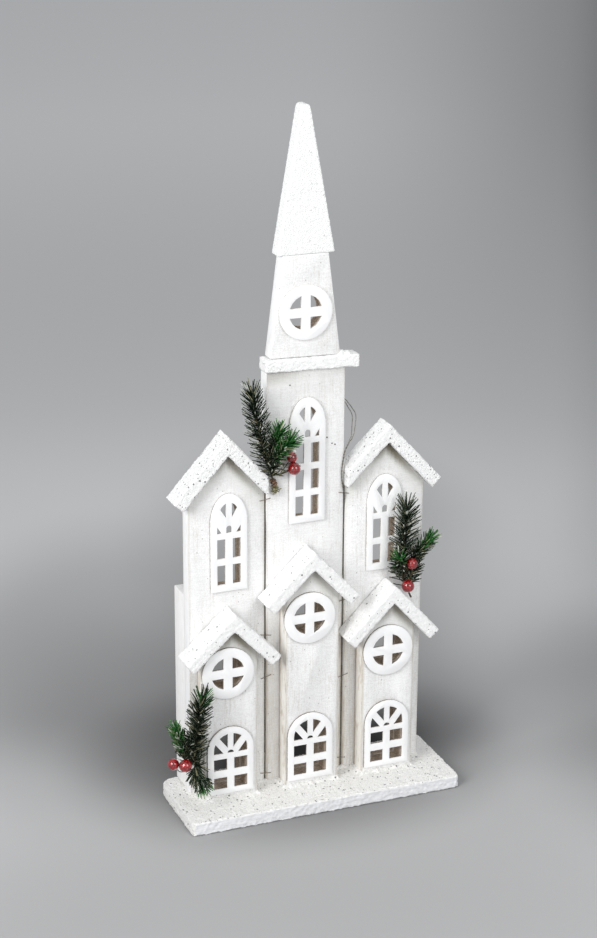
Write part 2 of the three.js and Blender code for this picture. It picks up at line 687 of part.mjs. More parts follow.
// The cap tapers from the spire's top to a blunt tip with rounded corners
function buildSpireCap() {
  const tipZ = spireTopZ + capHeight;
  const left = capCentre - capBottomWidth / 2;
  const right = capCentre + capBottomWidth / 2;
  const tipLeft = capTipCentre - capTipWidth / 2;
  const tipRight = capTipCentre + capTipWidth / 2;
  const shoulderZ = tipZ - capTipRadius;
  const ease = capTipRadius * capTipEase;
  const shape = new THREE.Shape();
  shape.moveTo(left, spireTopZ);
  shape.lineTo(right, spireTopZ);
  shape.lineTo(tipRight, shoulderZ);
  shape.quadraticCurveTo(tipRight - ease, tipZ, tipRight - capTipRadius, tipZ);
  shape.lineTo(tipLeft + capTipRadius, tipZ);
  shape.quadraticCurveTo(tipLeft + ease, tipZ, tipLeft, shoulderZ);
  shape.closePath();
  place("spire_cap", boardFrom(shape, towerFrontY, towerThickness, capTipSteps), materials.snowyWood);
}

// The base, with one badly worn corner at the back left
function buildBase() {
  const x = baseWidth / 2;
  const y = baseDepth / 2;
  const r = baseCornerRadius;
  const worn = baseWornCornerRadius;
  const shape = new THREE.Shape();
  shape.moveTo(-x + r, -y);
  shape.lineTo(x - r, -y);
  shape.absarc(x - r, -y + r, r, -Math.PI / 2, 0, false);
  shape.lineTo(x, y - r);
  shape.absarc(x - r, y - r, r, 0, Math.PI / 2, false);
  shape.lineTo(-x + worn, y);
  shape.absarc(-x + worn, y - worn, worn, Math.PI / 2, Math.PI, false);
  shape.lineTo(-x, -y + r);
  shape.absarc(-x + r, -y + r, r, Math.PI, Math.PI * 1.5, false);
  const board = new THREE.ExtrudeGeometry(shape, {
    depth: baseThickness, bevelEnabled: false, curveSegments: baseCornerSteps,
  });
  place("base_board", geometryFrom(cutAll(solidFrom(board), screwHoles())), materials.snowyWood);
}

function buildBacking() {
  const innerLeft = leftTowerX + strutWidth;
  const innerRight = towerRowRight - strutWidth;
  boxPiece("left_rear_strut", materials.paintedWood, leftTowerX, innerLeft,
    towerBackY, backY, footZ, footZ + strutHeight);
  boxPiece("right_rear_strut", materials.paintedWood, innerRight, towerRowRight,
    towerBackY, backY, footZ, footZ + strutHeight);
  boxPiece("cross_batten", materials.paintedWood, innerLeft, innerRight,
    towerBackY, towerBackY + battenThickness, footZ + battenRise, footZ + battenRise + battenHeight);
}

// Battery case: two cells lie side by side between contacts, with the switch bay at the right
const cellPitch = cellRadius * 2 + runningGap;
const cellStart = contactThickness + glueLine + springLength + glueLine;
const cellRoomLength = cellStart + cellLength + cellTipLength + glueLine + contactThickness;
const caseLength = caseWall * 3 + cellRoomLength + switchBay;
const caseBottom = footZ + caseRise;
const caseX0 = centreTowerCentre - caseLength / 2;
const caseX1 = caseX0 + caseLength;
const roomX0 = caseX0 + caseWall;
const roomX1 = roomX0 + cellRoomLength;
const bayX0 = roomX1 + caseWall;
const bayX1 = bayX0 + switchBay;
const caseTop = caseBottom + caseHeight;
const caseFloorY = towerBackY + caseWall;
const wireHoleY = caseFloorY + wireHoleSetIn;
const cellY = caseFloorY + runningGap + cellRadius;
const coverY0 = cellY + cellRadius + runningGap;
const coverY1 = coverY0 + coverThickness;
const caseRimY = coverY1 + runningGap + coverLip;
const coverPlay = runningGap / 2;
const coverFaceY = coverY1 + runningGap + coverLip / 2;
const cellMiddleZ = (caseBottom + caseTop) / 2;
const cellZ = [cellMiddleZ - cellPitch / 2, cellMiddleZ + cellPitch / 2];
const switchX = (bayX0 + bayX1) / 2;
const switchLengthHalf = switchNubLength / 2;
const slotZ0 = cellMiddleZ - switchLengthHalf - runningGap;
const slotZ1 = cellMiddleZ + switchLengthHalf + switchTravel + runningGap;

function buildBatteryCase() {
  const roomZ0 = caseBottom + caseWall;
  const roomZ1 = caseTop - caseWall;
  const block = boxSolid(caseX0, caseX1, towerBackY, caseRimY, caseBottom, caseTop);
  const trackY = coverY0 - coverPlay;
  const cellRoom = boxSolid(roomX0, roomX1, caseFloorY, caseRimY + cutPast, roomZ0 + coverLip, roomZ1 - coverLip);
  const coverTrack = boxSolid(caseX0 - cutPast, roomX1, trackY, coverY1 + runningGap, roomZ0, roomZ1);
  const coverMouth = boxSolid(caseX0 - cutPast, roomX0 + cutPast, trackY, caseRimY + cutPast,
    roomZ0 + coverLip, roomZ1 - coverLip);
  const bay = boxSolid(bayX0, bayX1, caseFloorY, caseRimY - caseWall, roomZ0, roomZ1);
  const slot = boxSolid(switchX - switchNubWidth / 2 - runningGap, switchX + switchNubWidth / 2 + runningGap,
    caseRimY - caseWall - cutPast, caseRimY + cutPast, slotZ0, slotZ1);
  const wireHole = boxSolid(switchX - wireHoleRadius, switchX + wireHoleRadius,
    wireHoleY - wireHoleRadius, wireHoleY + wireHoleRadius, caseTop - caseWall - cutPast, caseTop + cutPast);
  const shell = cutAll(block, [cellRoom, coverTrack, coverMouth, bay, slot, wireHole]);
  place("battery_case", geometryFrom(shell), materials.blackPlastic);
}

function buildBatteryCover() {
  const z0 = caseBottom + caseWall + coverPlay;
  const z1 = caseTop - caseWall - coverPlay;
  const plate = boxSolid(caseX0, roomX1 - runningGap, coverY0, coverY1, z0, z1);
  const face = boxSolid(caseX0, roomX1 - runningGap, coverY0, coverFaceY,
    z0 + coverLip + runningGap, z1 - coverLip - runningGap);
  const ribs = [];
  for (let rib = 0; rib < coverRibCount; rib += 1) {
    const x = caseX0 + coverRibSpacing * (rib + 1);
    ribs.push(boxSolid(x, x + coverRibWidth, coverY1, coverFaceY + coverRibHeight,
      cellMiddleZ - coverRibLength / 2, cellMiddleZ + coverRibLength / 2));
  }
  place("battery_cover", geometryFrom(joinAll([plate, face, ...ribs])), materials.blackPlastic);
}

// The switch's slider: a nub through the slot on a flange that runs under the case's rim
function buildSwitch() {
  const flangeY1 = caseRimY - caseWall - coverPlay;
  const flangeY0 = flangeY1 - switchPlateThickness;
  const nubX = switchNubWidth / 2;
  const flangeX = nubX + switchFlange;
  const flangeZ = switchLengthHalf + switchFlange;
  const nub = boxSolid(switchX - nubX, switchX + nubX, flangeY0, caseRimY + switchNubRise,
    cellMiddleZ - switchLengthHalf, cellMiddleZ + switchLengthHalf);
  const flange = boxSolid(switchX - flangeX, switchX + flangeX, flangeY0, flangeY1,
    cellMiddleZ - flangeZ, cellMiddleZ + flangeZ);
  place("switch_slider", geometryFrom(nub.add(flange)), materials.blackPlastic);
  boxPiece("switch_body", materials.blackPlastic, bayX0 + runningGap, bayX1 - runningGap,
    caseFloorY + runningGap, flangeY0 - coverPlay, slotZ0 - switchFlange, slotZ1 + switchFlange);
}

// Cells lie head to tail: the lower one points right, the upper one left
function buildCells() {
  const profile = [
    [0, 0], [cellRadius - cellEdge, 0], [cellRadius, cellEdge], [cellRadius, cellLength - cellEdge],
    [cellRadius - cellEdge, cellLength], [cellTipRadius, cellLength],
    [cellTipRadius, cellLength + cellTipLength], [0, cellLength + cellTipLength],
  ].map(([radius, along]) => new THREE.Vector2(radius, along));
  const ways = [-1, 1];
  ways.forEach((way, index) => {
    const cell = new THREE.LatheGeometry(profile, cellSides);
    cell.rotateZ(way < 0 ? -Math.PI / 2 : Math.PI / 2);
    cell.translate(way < 0 ? roomX0 + cellStart : roomX1 - cellStart, cellY, cellZ[index]);
    place(`battery_cell_${index + 1}`, cell, materials.cellWrap);
  });
}

// A tapered coil spring on each cell's flat end, wound by a formula
class CoilCurve extends THREE.Curve {
  constructor(end, way, axisZ) {
    super();
    Object.assign(this, { end, way, axisZ });
  }

  getPoint(t, target = new THREE.Vector3()) {
    const angle = t * springTurns * Math.PI * 2;
    const radius = springRadius + (springTipRadius - springRadius) * t;
    const along = springWireRadius + t * (springLength - springWireRadius * 2);
    return target.set(this.end + this.way * along, cellY + radius * Math.cos(angle),
      this.axisZ + radius * Math.sin(angle));
  }
}

function roundTube(curve, radius, sides, steps) {
  return new THREE.ExtrudeGeometry(polygonShape(radius, sides), {
    steps, extrudePath: curve, bevelEnabled: false,
  });
}

// At the left end one plate bridges both cells, and at the right each has its own
function buildContacts() {
  [1, -1].forEach((way, index) => {
    const end = way > 0 ? roomX0 + contactThickness + glueLine : roomX1 - contactThickness - glueLine;
    const spring = roundTube(new CoilCurve(end, way, cellZ[index]), springWireRadius, springWireSides,
      springTurns * springTurnSteps);
    place(`battery_spring_${index + 1}`, spring, materials.nickel);
  });
  const half = contactWidth / 2;
  boxPiece("contact_bridge", materials.nickel, roomX0, roomX0 + contactThickness,
    caseFloorY, cellY + half, cellZ[0] - half, cellZ[1] + half);
  cellZ.forEach((z, index) => {
    boxPiece(`contact_plate_${index + 1}`, materials.nickel, roomX1 - contactThickness, roomX1,
      caseFloorY, cellY + half, z - half, z + half);
  });
}

// Light string: from the case, down and up the left groove, across behind the centre tower,
// out in a loop at its right, and down the front of the right groove
const frontStrandY = towerFrontY + stringInset;
const deepStrandY = frontStrandY + hairpinWidth;
const behindY = towerBackY + 1.5;
const backLeftY = towerBackY + 4.5;
const shoulder = (x, y, z) => [rightGrooveX + x, towerFrontY + y, footZ + z];
const leftGroove = (y, z) => [leftGrooveX, frontStrandY + y, footZ + z];
const rightGroove = (y, z) => [rightGrooveX, frontStrandY + y, footZ + z];
const behind = (x, y, z) => [centreTowerCentre + x, y, footZ + z];
const stringRoute = [
  [switchX, wireHoleY, caseTop - 1], [switchX, wireHoleY, caseTop + 7],
  [switchX - 2, behindY + 0.6, caseTop + 21], [switchX - 4, behindY, caseTop + 46],
  behind(20.6, behindY, 227), behind(0.6, behindY, 251), behind(-23.5, behindY, 275),
  behind(-38.5, behindY, 298), [leftGrooveX - 0.5, towerBackY, footZ + 309], leftGroove(3.9, 308),
  leftGroove(0, 299), leftGroove(0, 225), leftGroove(0, 145), leftGroove(0, 75), leftGroove(0, 15),
  leftGroove(0.6, 7), leftGroove(hairpinWidth / 2, 3.6), leftGroove(hairpinWidth - 0.6, 7),
  leftGroove(hairpinWidth, 15), leftGroove(hairpinWidth, 75), leftGroove(hairpinWidth, 135),
  leftGroove(7.9, 148), [leftGrooveX, towerBackY + 0.5, footZ + 157], behind(-40.5, backLeftY - 1, 169),
  behind(-33.5, backLeftY, 195), behind(-31.5, backLeftY, 275), behind(-27.5, backLeftY - 1, 335),
  behind(-22.5, behindY + 0.6, 390), behind(-12.5, behindY, 425), behind(6.5, behindY, 437),
  behind(34.5, behindY, 426), shoulder(0, 17.3, 417), shoulder(6.3, 16.5, 409), shoulder(10.6, 13.5, 401.9),
  shoulder(13.4, 9.5, 395), shoulder(11.6, 5.5, 384.9), shoulder(8.7, 2.5, 374.3),
  shoulder(3.6, 0.5, 366.9), shoulder(-0.4, -0.9, 360.3), shoulder(-2.2, -1.3, 352),
  shoulder(-3.7, -1.5, 341.5), shoulder(-3.6, -1.5, 331), shoulder(-2.2, -1.5, 322),
  shoulder(-0.4, -1.1, 314), shoulder(0, 0.3, 306), rightGroove(0, 297), rightGroove(0, 225),
  rightGroove(0, 145), rightGroove(0, 75), rightGroove(0, 7),
];

// The tube's steps follow the points of the route, which lie closer in its bends
class RouteCurve extends THREE.CatmullRomCurve3 {
  getUtoTmapping(u) {
    return u;
  }
}

const pointsOf = (places) => places.map((place) => new THREE.Vector3(...place));

// Each light is a clear drop moulded round the wire
function dropSolid(x, rise) {
  const half = dropLength / 2;
  const belly = half * dropBellyShare;
  const end = dropRadius * dropEndShare;
  const profile = [
    [0, -half], [end, -half], [dropRadius, -belly], [dropRadius, belly], [end, half], [0, half],
  ].map(([radius, along]) => new THREE.Vector2(radius, along));
  const drop = new THREE.LatheGeometry(profile, dropSides);
  drop.rotateX(Math.PI / 2);
  return solidFrom(drop.translate(x, frontStrandY, footZ + rise));
}

function buildLightString() {
  const curve = new RouteCurve(pointsOf(stringRoute), false, "centripetal");
  const wire = solidFrom(roundTube(curve, wireRadius, wireSides, wireSteps));
  const drops = [
    ...leftDropRises.map((rise) => dropSolid(leftGrooveX, rise)),
    ...rightDropRises.map((rise) => dropSolid(rightGrooveX, rise)),
  ];
  place("light_string", geometryFrom(joinAll([wire, ...drops])), materials.silverWire);
}

// Berries in pairs, on the two ends of one bent wire
function buildBerries(name, sprig) {
  const balls = sprig.berries.map(({ at, radius }) => (
    solidFrom(new THREE.SphereGeometry(radius, berrySides, berryRings).translate(...at))));
  const [first, second] = sprig.berries;
  const bend = new THREE.CatmullRomCurve3(pointsOf([first.at, ...sprig.berryWire, second.at]));
  const wire = solidFrom(roundTube(bend, berryWireRadius, berryWireSides, berryWireSteps));
  place(`${name}_berries`, geometryFrom(joinAll([...balls, wire])), materials.redBerry);
}

// One needle: a slim three-sided cone from the twig's bark to its tip
function needleGeometry(needle, extra) {
  const length = needle.base.distanceTo(needle.tip) + extra;
  const cone = new THREE.ConeGeometry(needleRadius + extra, length, needleSides, 1, false);
  cone.translate(0, length / 2, 0);
  const way = needle.tip.clone().sub(needle.base).normalize();
  cone.applyQuaternion(new THREE.Quaternion().setFromUnitVectors(new THREE.Vector3(0, 1, 0), way));
  return cone.translate(...needle.base);
}

// Least distance between two needles, each as a straight line from base to tip
function needleGap(a, b) {
  const line = new THREE.Line3(a.base, a.tip);
  const near = new THREE.Vector3();
  const along = new THREE.Vector3();
  let least = Infinity;
  for (let step = 0; step <= gapSteps; step += 1) {
    along.lerpVectors(b.base, b.tip, step / gapSteps);
    line.closestPointToPoint(along, true, near);
    least = Math.min(least, near.distanceTo(along));
  }
  return least;
}

// Needles stand out from a twig in a spiral, and lean closer to it towards its tip
function needlesOn(curve, bareLength) {
  const length = curve.getLength();
  const count = Math.round((length - bareLength) / needleSpacing);
  const needles = [];
  for (let index = 0; index < count; index += 1) {
    const u = (bareLength + (index + 0.5) * needleSpacing) / length;
    const centre = curve.getPointAt(Math.min(u, 1));
    const tangent = curve.getTangentAt(Math.min(u, 1));
    const side = new THREE.Vector3(0, -1, 0).projectOnPlane(tangent).normalize();
    side.applyAxisAngle(tangent, index * goldenTurn * radians);
    const spread = THREE.MathUtils.lerp(needleSpread, needleTipSpread, u ** tipBlend) * radians;
    const way = tangent.clone().multiplyScalar(Math.cos(spread)).addScaledVector(side, Math.sin(spread));
    const base = centre.clone().addScaledVector(side, twigRadius / 2);
    const reach = needleLength * (1 - needleVariation * ((index * goldenShare) % 1));
    needles.push({ base, tip: base.clone().addScaledVector(way, reach) });
  }
  return needles;
}

// A sprig keeps only the needles that lie clear of the boards, the berries and each other
function buildSprig(name, sprig) {
  const near = new THREE.Box3().setFromPoints(pointsOf(sprig.twigs.flat())).expandByScalar(needleLength);
  const neighbours = church.children.filter((mesh) => {
    mesh.geometry.computeBoundingBox();
    return near.intersectsBox(mesh.geometry.boundingBox);
  });
  const keepOut = joinAll(neighbours.map((mesh) => solidFrom(mesh.geometry)));
  const curves = sprig.twigs.map((points) => new THREE.CatmullRomCurve3(pointsOf(points)));
  const solids = curves.map((curve) => solidFrom(roundTube(curve, twigRadius, twigSides, twigSteps)));
  if (sprig.binding) solids.push(bindingSolid(sprig.binding));
  const kept = [];
  curves.forEach((curve, index) => {
    for (const needle of needlesOn(curve, index === 0 ? sprig.bareStem : twigRadius * 2)) {
      const apart = kept.every((other) => needleGap(other, needle) > needleRadius * 2);
      if (!apart || !keepOut.intersect(solidFrom(needleGeometry(needle, needleKeepOff))).isEmpty()) continue;
      kept.push(needle);
      solids.push(solidFrom(needleGeometry(needle, 0)));
    }
  });
  place(`${name}_sprig`, geometryFrom(joinAll(solids)), materials.firNeedles);
  return kept.length;
}

// The wrapped end of a stem, thicker than the twig
function bindingSolid({ from, to, radius }) {
  const [start, end] = pointsOf([from, to]);
  return solidFrom(roundTube(new THREE.LineCurve3(start, end), radius, bindingSides, 1));
}

// A sprig's points moved from its own place into the church's frame
function sprigAt(sprig, origin) {
  const move = (point) => point.map((value, axis) => value + origin[axis]);
  const { binding } = sprig;
  return {
    ...sprig,
    binding: binding && { ...binding, from: move(binding.from), to: move(binding.to) },
    twigs: sprig.twigs.map((twig) => twig.map(move)),
    berries: sprig.berries.map((berry) => ({ ...berry, at: move(berry.at) })),
    berryWire: sprig.berryWire.map(move),
  };
}

function buildSprigs() {
  let needleCount = 0;
  for (const [name, sprig] of Object.entries(sprigs)) {
    const placed = sprigAt(sprig, sprigPlaces[name]);
    buildBerries(name, placed);
    needleCount += buildSprig(name, placed);
  }
  console.log(`needles: ${needleCount}`);
}

buildBase();
buildBacking();
buildTowers();
buildHouses();
buildCornice();
buildSpire();
buildSpireCap();
buildRoofs();
buildWindows();
buildScrews();
buildBatteryCase();
buildBatteryCover();
buildSwitch();
buildCells();
buildContacts();
buildLightString();
buildSprigs();

export default church;
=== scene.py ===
import math
import random

import bmesh
import bpy
from mathutils import Matrix, Vector, noise


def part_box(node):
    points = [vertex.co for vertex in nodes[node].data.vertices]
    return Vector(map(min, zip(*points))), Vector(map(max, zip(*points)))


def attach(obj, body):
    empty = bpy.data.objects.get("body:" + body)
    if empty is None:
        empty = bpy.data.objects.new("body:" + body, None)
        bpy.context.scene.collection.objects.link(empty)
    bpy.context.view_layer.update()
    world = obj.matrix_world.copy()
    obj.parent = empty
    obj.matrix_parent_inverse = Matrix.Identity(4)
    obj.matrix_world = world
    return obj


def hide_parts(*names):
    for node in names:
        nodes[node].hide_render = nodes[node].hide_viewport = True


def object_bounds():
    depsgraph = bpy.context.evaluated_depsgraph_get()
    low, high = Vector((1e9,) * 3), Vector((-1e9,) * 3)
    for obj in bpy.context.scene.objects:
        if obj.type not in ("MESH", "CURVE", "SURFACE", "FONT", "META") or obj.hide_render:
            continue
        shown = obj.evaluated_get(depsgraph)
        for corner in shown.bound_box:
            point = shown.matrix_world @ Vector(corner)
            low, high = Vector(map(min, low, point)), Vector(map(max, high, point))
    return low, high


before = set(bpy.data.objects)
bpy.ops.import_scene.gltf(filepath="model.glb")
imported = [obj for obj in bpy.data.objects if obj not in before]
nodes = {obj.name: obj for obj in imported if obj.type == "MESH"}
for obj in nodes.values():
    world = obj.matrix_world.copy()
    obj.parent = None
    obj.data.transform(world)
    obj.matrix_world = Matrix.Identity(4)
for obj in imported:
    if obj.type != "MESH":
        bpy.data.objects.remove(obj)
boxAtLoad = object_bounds()
collection = bpy.context.scene.collection
mm = 0.001

# Places in the frame, in millimetres
place = {
    "towerFront": 8.5,
    "towerBack": 24.5,
    "houseFront": -11.5,
    "baseTop": 15,
    "roofTops": 455,
    "towerRow": (-131.5, 128.3),
    "leftGroove": -48.1,
    "rightGroove": 39,
    "grooveWire": 10.1,
}


# Shader maths

class Value:
    def __init__(self, finish, socket):
        self.finish = finish
        self.socket = socket

    def sum(self, operation, first, second):
        return self.finish.add("Math", {"operation": operation}, {0: first, 1: second})

    def __add__(self, other):
        return self.sum("ADD", self, other)

    def __radd__(self, other):
        return self.sum("ADD", other, self)

    def __sub__(self, other):
        return self.sum("SUBTRACT", self, other)

    def __rsub__(self, other):
        return self.sum("SUBTRACT", other, self)

    def __mul__(self, other):
        return self.sum("MULTIPLY", self, other)

    def __rmul__(self, other):
        return self.sum("MULTIPLY", other, self)

    def __truediv__(self, other):
        return self.sum("DIVIDE", self, other)

    def __pow__(self, other):
        return self.sum("POWER", self, other)


class Finish:
    def __init__(self, name, **constants):
        self.material = bpy.data.materials.new(name)
        self.material.use_nodes = True
        self.tree = self.material.node_tree
        self.shader = self.tree.nodes["Principled BSDF"]
        for socket, value in constants.items():
            self.feed(self.shader.inputs[socket.replace("_", " ")], value)

    def feed(self, socket, value):
        if isinstance(value, Value):
            self.tree.links.new(value.socket, socket)
        elif isinstance(value, tuple) and socket.type == "RGBA":
            socket.default_value = (*value, 1)
        else:
            socket.default_value = value

    def add(self, kind, settings=None, inputs=None, output=0):
        node = self.tree.nodes.new("ShaderNode" + kind)
        for name, value in (settings or {}).items():
            setattr(node, name, value)
        for name, value in (inputs or {}).items():
            self.feed(node.inputs[name], value)
        return Value(self, node.outputs[output])

    # Object coordinates in millimetres, stretched by the three shares
    def spot(self, x=1, y=1, z=1):
        where = self.add("TexCoord", output="Object")
        scale = (x / mm, y / mm, z / mm)
        return self.add("VectorMath", {"operation": "MULTIPLY"}, {0: where, 1: scale})

    def axis(self, name):
        return self.add("SeparateXYZ", inputs={0: self.spot()}, output=name)

    def size(self, value):
        return self.add("Math", {"operation": "ABSOLUTE"}, {0: value})

    def most(self, first, second):
        return self.add("Math", {"operation": "MAXIMUM"}, {0: first, 1: second})

    def clouds(self, spot, scale, detail=3, roughness=0.55):
        inputs = {"Vector": spot, "Scale": scale, "Detail": detail, "Roughness": roughness}
        return self.add("TexNoise", inputs=inputs)

    def cells(self, spot, scale, output="Distance"):
        return self.add("TexVoronoi", inputs={"Vector": spot, "Scale": scale}, output=output)

    def chance(self, cellColor):
        return self.add("SeparateColor", inputs={0: cellColor})

    def mark(self, name):
        return self.add("Attribute", {"attribute_name": name}, output="Fac")

    def blur(self, value, low, high):
        inputs = {"Value": value, "From Min": low, "From Max": high}
        return self.add("MapRange", {"interpolation_type": "SMOOTHSTEP"}, inputs)

    # Dots of one size at a share of the spots in a loose grid of the given spacing
    def dots(self, spacing, radius, kept):
        near = self.cells(self.spot(), 1 / spacing)
        luck = self.chance(self.cells(self.spot(), 1 / spacing, "Color"))
        size = radius / spacing
        return (1 - self.blur(near, size * 0.65, size)) * self.blur(luck, 1 - kept, 1.02 - kept)

    def mix(self, share, first, second):
        return self.add("Mix", {"data_type": "RGBA"}, {0: share, 6: first, 7: second}, output=2)

    def relief(self, height, depth, strength=1.0):
        inputs = {"Strength": strength, "Distance": depth * mm, "Height": height}
        self.feed(self.shader.inputs["Normal"], self.add("Bump", inputs=inputs))

    def color(self, value):
        self.feed(self.shader.inputs["Base Color"], value)

    def roughness(self, value):
        self.feed(self.shader.inputs["Roughness"], value)

    def metal(self, value):
        self.feed(self.shader.inputs["Metallic"], value)


def nodeBox(nodeName):
    low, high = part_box(nodeName)
    return low / mm, high / mm


print("finishes")

# Whitewash over a board: upright grain crossed by brush strokes, specks, bare wood along the two long
# edges, painted shade over thin paint under the roof, and painted shade low on the edges beside the houses
whitewash = {
    "paint": (0.93, 0.93, 0.925),
    "shade": (0.75, 0.745, 0.735),
    "bareWood": (0.50, 0.44, 0.34),
    "sparse": (0.17, 0.145, 0.10),
    "wideThinPaintAndShade": (0.60, 0.61, 0.555),
    "stain": (0.76, 0.68, 0.54),
    "stainLine": (0.36, 0.27, 0.17),
    "stainTop": (180, 270),
    "fleck": (0.26, 0.25, 0.23),
    "grainDepth": 0.55,
    "edgeWidth": 3.0,
    "sparseReach": 13,
}


# A gabled board's highest point and the fall of its top to either side, from the node's corners
def gableOf(nodeName):
    spots = [vert.co / mm for vert in nodes[nodeName].data.vertices]
    low, high = nodeBox(nodeName)
    peak = max(spots, key=lambda spot: (round(spot.z, 1), -spot.x))
    left = max((spot for spot in spots if spot.x < low.x + 0.5), key=lambda spot: spot.z)
    right = max((spot for spot in spots if spot.x > high.x - 0.5), key=lambda spot: spot.z)
    fall = [(peak.z - end.z) / max(abs(peak.x - end.x), 0.5) for end in (left, right)]
    return {"x": peak.x, "z": peak.z, "left": min(fall[0], 2.0), "right": min(fall[1], 2.0)}


def whitewashFinish(name, middle=0.0, half=1000.0, gable=None, paint=None, rim=0.5, sparse=0.8, stain=None):
    coat = Finish(name, Roughness=0.8, Specular_IOR_Level=0.25)
    grain = coat.clouds(coat.spot(1, 1, 0.05), 0.9, 5, 0.62)
    strokes = coat.clouds(coat.spot(0.08, 0.08, 1), 1.1, 4, 0.65)
    fine = coat.clouds(coat.spot(), 0.9, 3, 0.6)
    patches = coat.clouds(coat.spot(1, 1, 0.5), 0.05, 4, 0.65)
    across = coat.axis("X") - middle
    z = coat.axis("Z")
    nearRim = coat.blur(coat.size(across) + grain * 2.6, half - whitewash["edgeWidth"] + 1.0, half + 1.6)
    thin = coat.blur(grain + fine * 0.3, 0.60, 0.86) * coat.blur(patches, 0.40, 0.66)
    grit = coat.clouds(coat.spot(), 2.2, 2, 0.7)
    mottled = coat.blur(strokes * 0.8 + fine + grit * 0.6 + patches * 0.35 + grain * 0.25, 1.30, 1.72) * 0.6
    tone = coat.mix(mottled, paint or whitewash["paint"], whitewash["shade"])
    tone = coat.mix(thin * 0.34, tone, whitewash["bareWood"])
    tone = coat.mix(nearRim * rim, tone, whitewash["bareWood"])
    # Painted shade low on the board's edges, in the recesses beside the houses, streaked with the grain, and a darker
    # line of painted shade right at the edge
    if stain:
        low = 1 - coat.blur(z + patches * 60, *whitewash["stainTop"])
        edge = coat.most(across * stain[1], across * -stain[0])
        streaks = coat.blur(grain + fine * 0.3, 0.45, 0.85) * 0.4
        tone = coat.mix(low * coat.blur(edge + grain * 9, half - 16, half + 1) * streaks, tone, whitewash["stain"])
        line = low * coat.blur(edge + grain * 5, half - 0.5, half + 3) * 0.6
        tone = coat.mix(line, tone, whitewash["stainLine"])
    # Painted shade under the roof's edge, darkest near the peak, over paint that is thin there
    if gable:
        side = coat.axis("X") - gable["x"]
        below = gable["z"] - z - coat.most(side * gable["right"], side * -gable["left"])
        near = (1 - coat.blur(side, 6, 46)) * (1 - coat.blur(side * -1, 2, 24))
        wide = (1 - coat.blur(below + (fine - 0.5) * 18 + (grain - 0.5) * 16, 8, 36)) * 0.42
        band = 1 - coat.blur(below + (fine - 0.5) * 6 + (grain - 0.5) * 5, 3.5, whitewash["sparseReach"] + near * 5)
        tone = coat.mix(wide * sparse, tone, whitewash["wideThinPaintAndShade"])
        tone = coat.mix(band * (near * 0.82 + 0.16) * sparse, tone, whitewash["sparse"])
    tone = coat.mix(coat.dots(5.5, 0.75, 0.22) * 0.6, tone, whitewash["fleck"])
    coat.color(tone)
    coat.roughness(0.72 + thin * 0.16)
    coat.relief(grain * 0.5 + strokes * 0.6 + fine * 0.7 + grit * 0.4, whitewash["grainDepth"], 0.9)
    return coat.material


# Side of a board: the same paint, thinner, with brown along its back edge and a little along its
# front edge, or with white paint sprayed in at the front. Between the two fade heights it turns
# as white as the front.
boardSide = {"blot": (0.52, 0.45, 0.36), "edge": (0.33, 0.25, 0.17)}


def sideFinish(name, front, back, clean, worn, edgeShare, fade=None, sprayed=0):
    coat = Finish(name, Roughness=0.85, Specular_IOR_Level=0.2)
    grain = coat.clouds(coat.spot(1, 1, 0.05), 0.8, 5, 0.65)
    blots = coat.clouds(coat.spot(1, 1, 0.35), 0.14, 3, 0.6)
    depth = coat.axis("Y")
    nearFront = 1 - coat.blur(depth - grain * 2.6, front - 0.9, front + 1.6)
    nearBack = coat.blur(depth + grain * 3.4, back - 3.6, back + 1.4)
    edges = nearFront * (0 if sprayed else 0.3) + nearBack
    tone = coat.mix(coat.blur(grain, 0.42, 0.75), clean, worn)
    tone = coat.mix(coat.blur(blots, 0.50, 0.66) * edgeShare * 0.7, tone, boardSide["blot"])
    tone = coat.mix(edges * edgeShare, tone, boardSide["edge"])
    white = coat.mix(coat.blur(grain, 0.45, 0.8) * 0.6, whitewash["paint"], whitewash["shade"])
    if sprayed:
        wander = (grain - 0.5) * 3 + (blots - 0.5) * 5
        inside = coat.blur(depth + wander, front + sprayed - 0.6, front + sprayed + 0.6)
        tone = coat.mix(inside, white, tone)
    if fade:
        tone = coat.mix(coat.blur(coat.axis("Z") + blots * 20, *fade), tone, white)
    coat.color(tone)
    coat.relief(grain + blots * 0.4, 0.4, 0.8)
    return coat.material


# Bare sawn wood inside the window openings, with spray that reached in from the front
sawnWood = {"dark": (0.30, 0.215, 0.15), "pale": (0.74, 0.62, 0.50), "ring": (0.22, 0.15, 0.10),
            "spray": (0.84, 0.80, 0.76), "sprayReach": 3.5}


def sawnFinish(name, front):
    cut = Finish(name, Roughness=0.9, Specular_IOR_Level=0.15)
    grain = cut.clouds(cut.spot(0.3, 1.2, 1.2), 0.9, 5, 0.7)
    rings = cut.clouds(cut.spot(0.25, 1, 0.25), 0.5, 4, 0.6)
    spray = cut.blur(cut.clouds(cut.spot(), 0.35, 3), 0.52, 0.72)
    mouth = 1 - cut.blur(cut.axis("Y") - spray * 2, front, front + sawnWood["sprayReach"])
    tone = cut.mix(cut.blur(grain, 0.35, 0.65), sawnWood["dark"], sawnWood["pale"])
    tone = cut.mix(cut.blur(rings, 0.5, 0.7) * 0.55, tone, sawnWood["ring"])
    tone = cut.mix(mouth * 0.5 + spray * 0.25, tone, sawnWood["spray"])
    cut.color(tone)
    cut.relief(grain + rings * 0.5, 0.4, 0.8)
    return cut.material


# Rolled snow: granules of two sizes with painted shade in their hollows, dark specks of two sizes and a few bright
# flakes
snow = {
    "white": (0.955, 0.955, 0.95),
    "hollowShadeTone": (0.84, 0.835, 0.82),
    "warm": (0.86, 0.84, 0.77),
    "faint": (0.45, 0.45, 0.44),
    "speck": (0.09, 0.09, 0.09),
    "granule": 1.15,
}


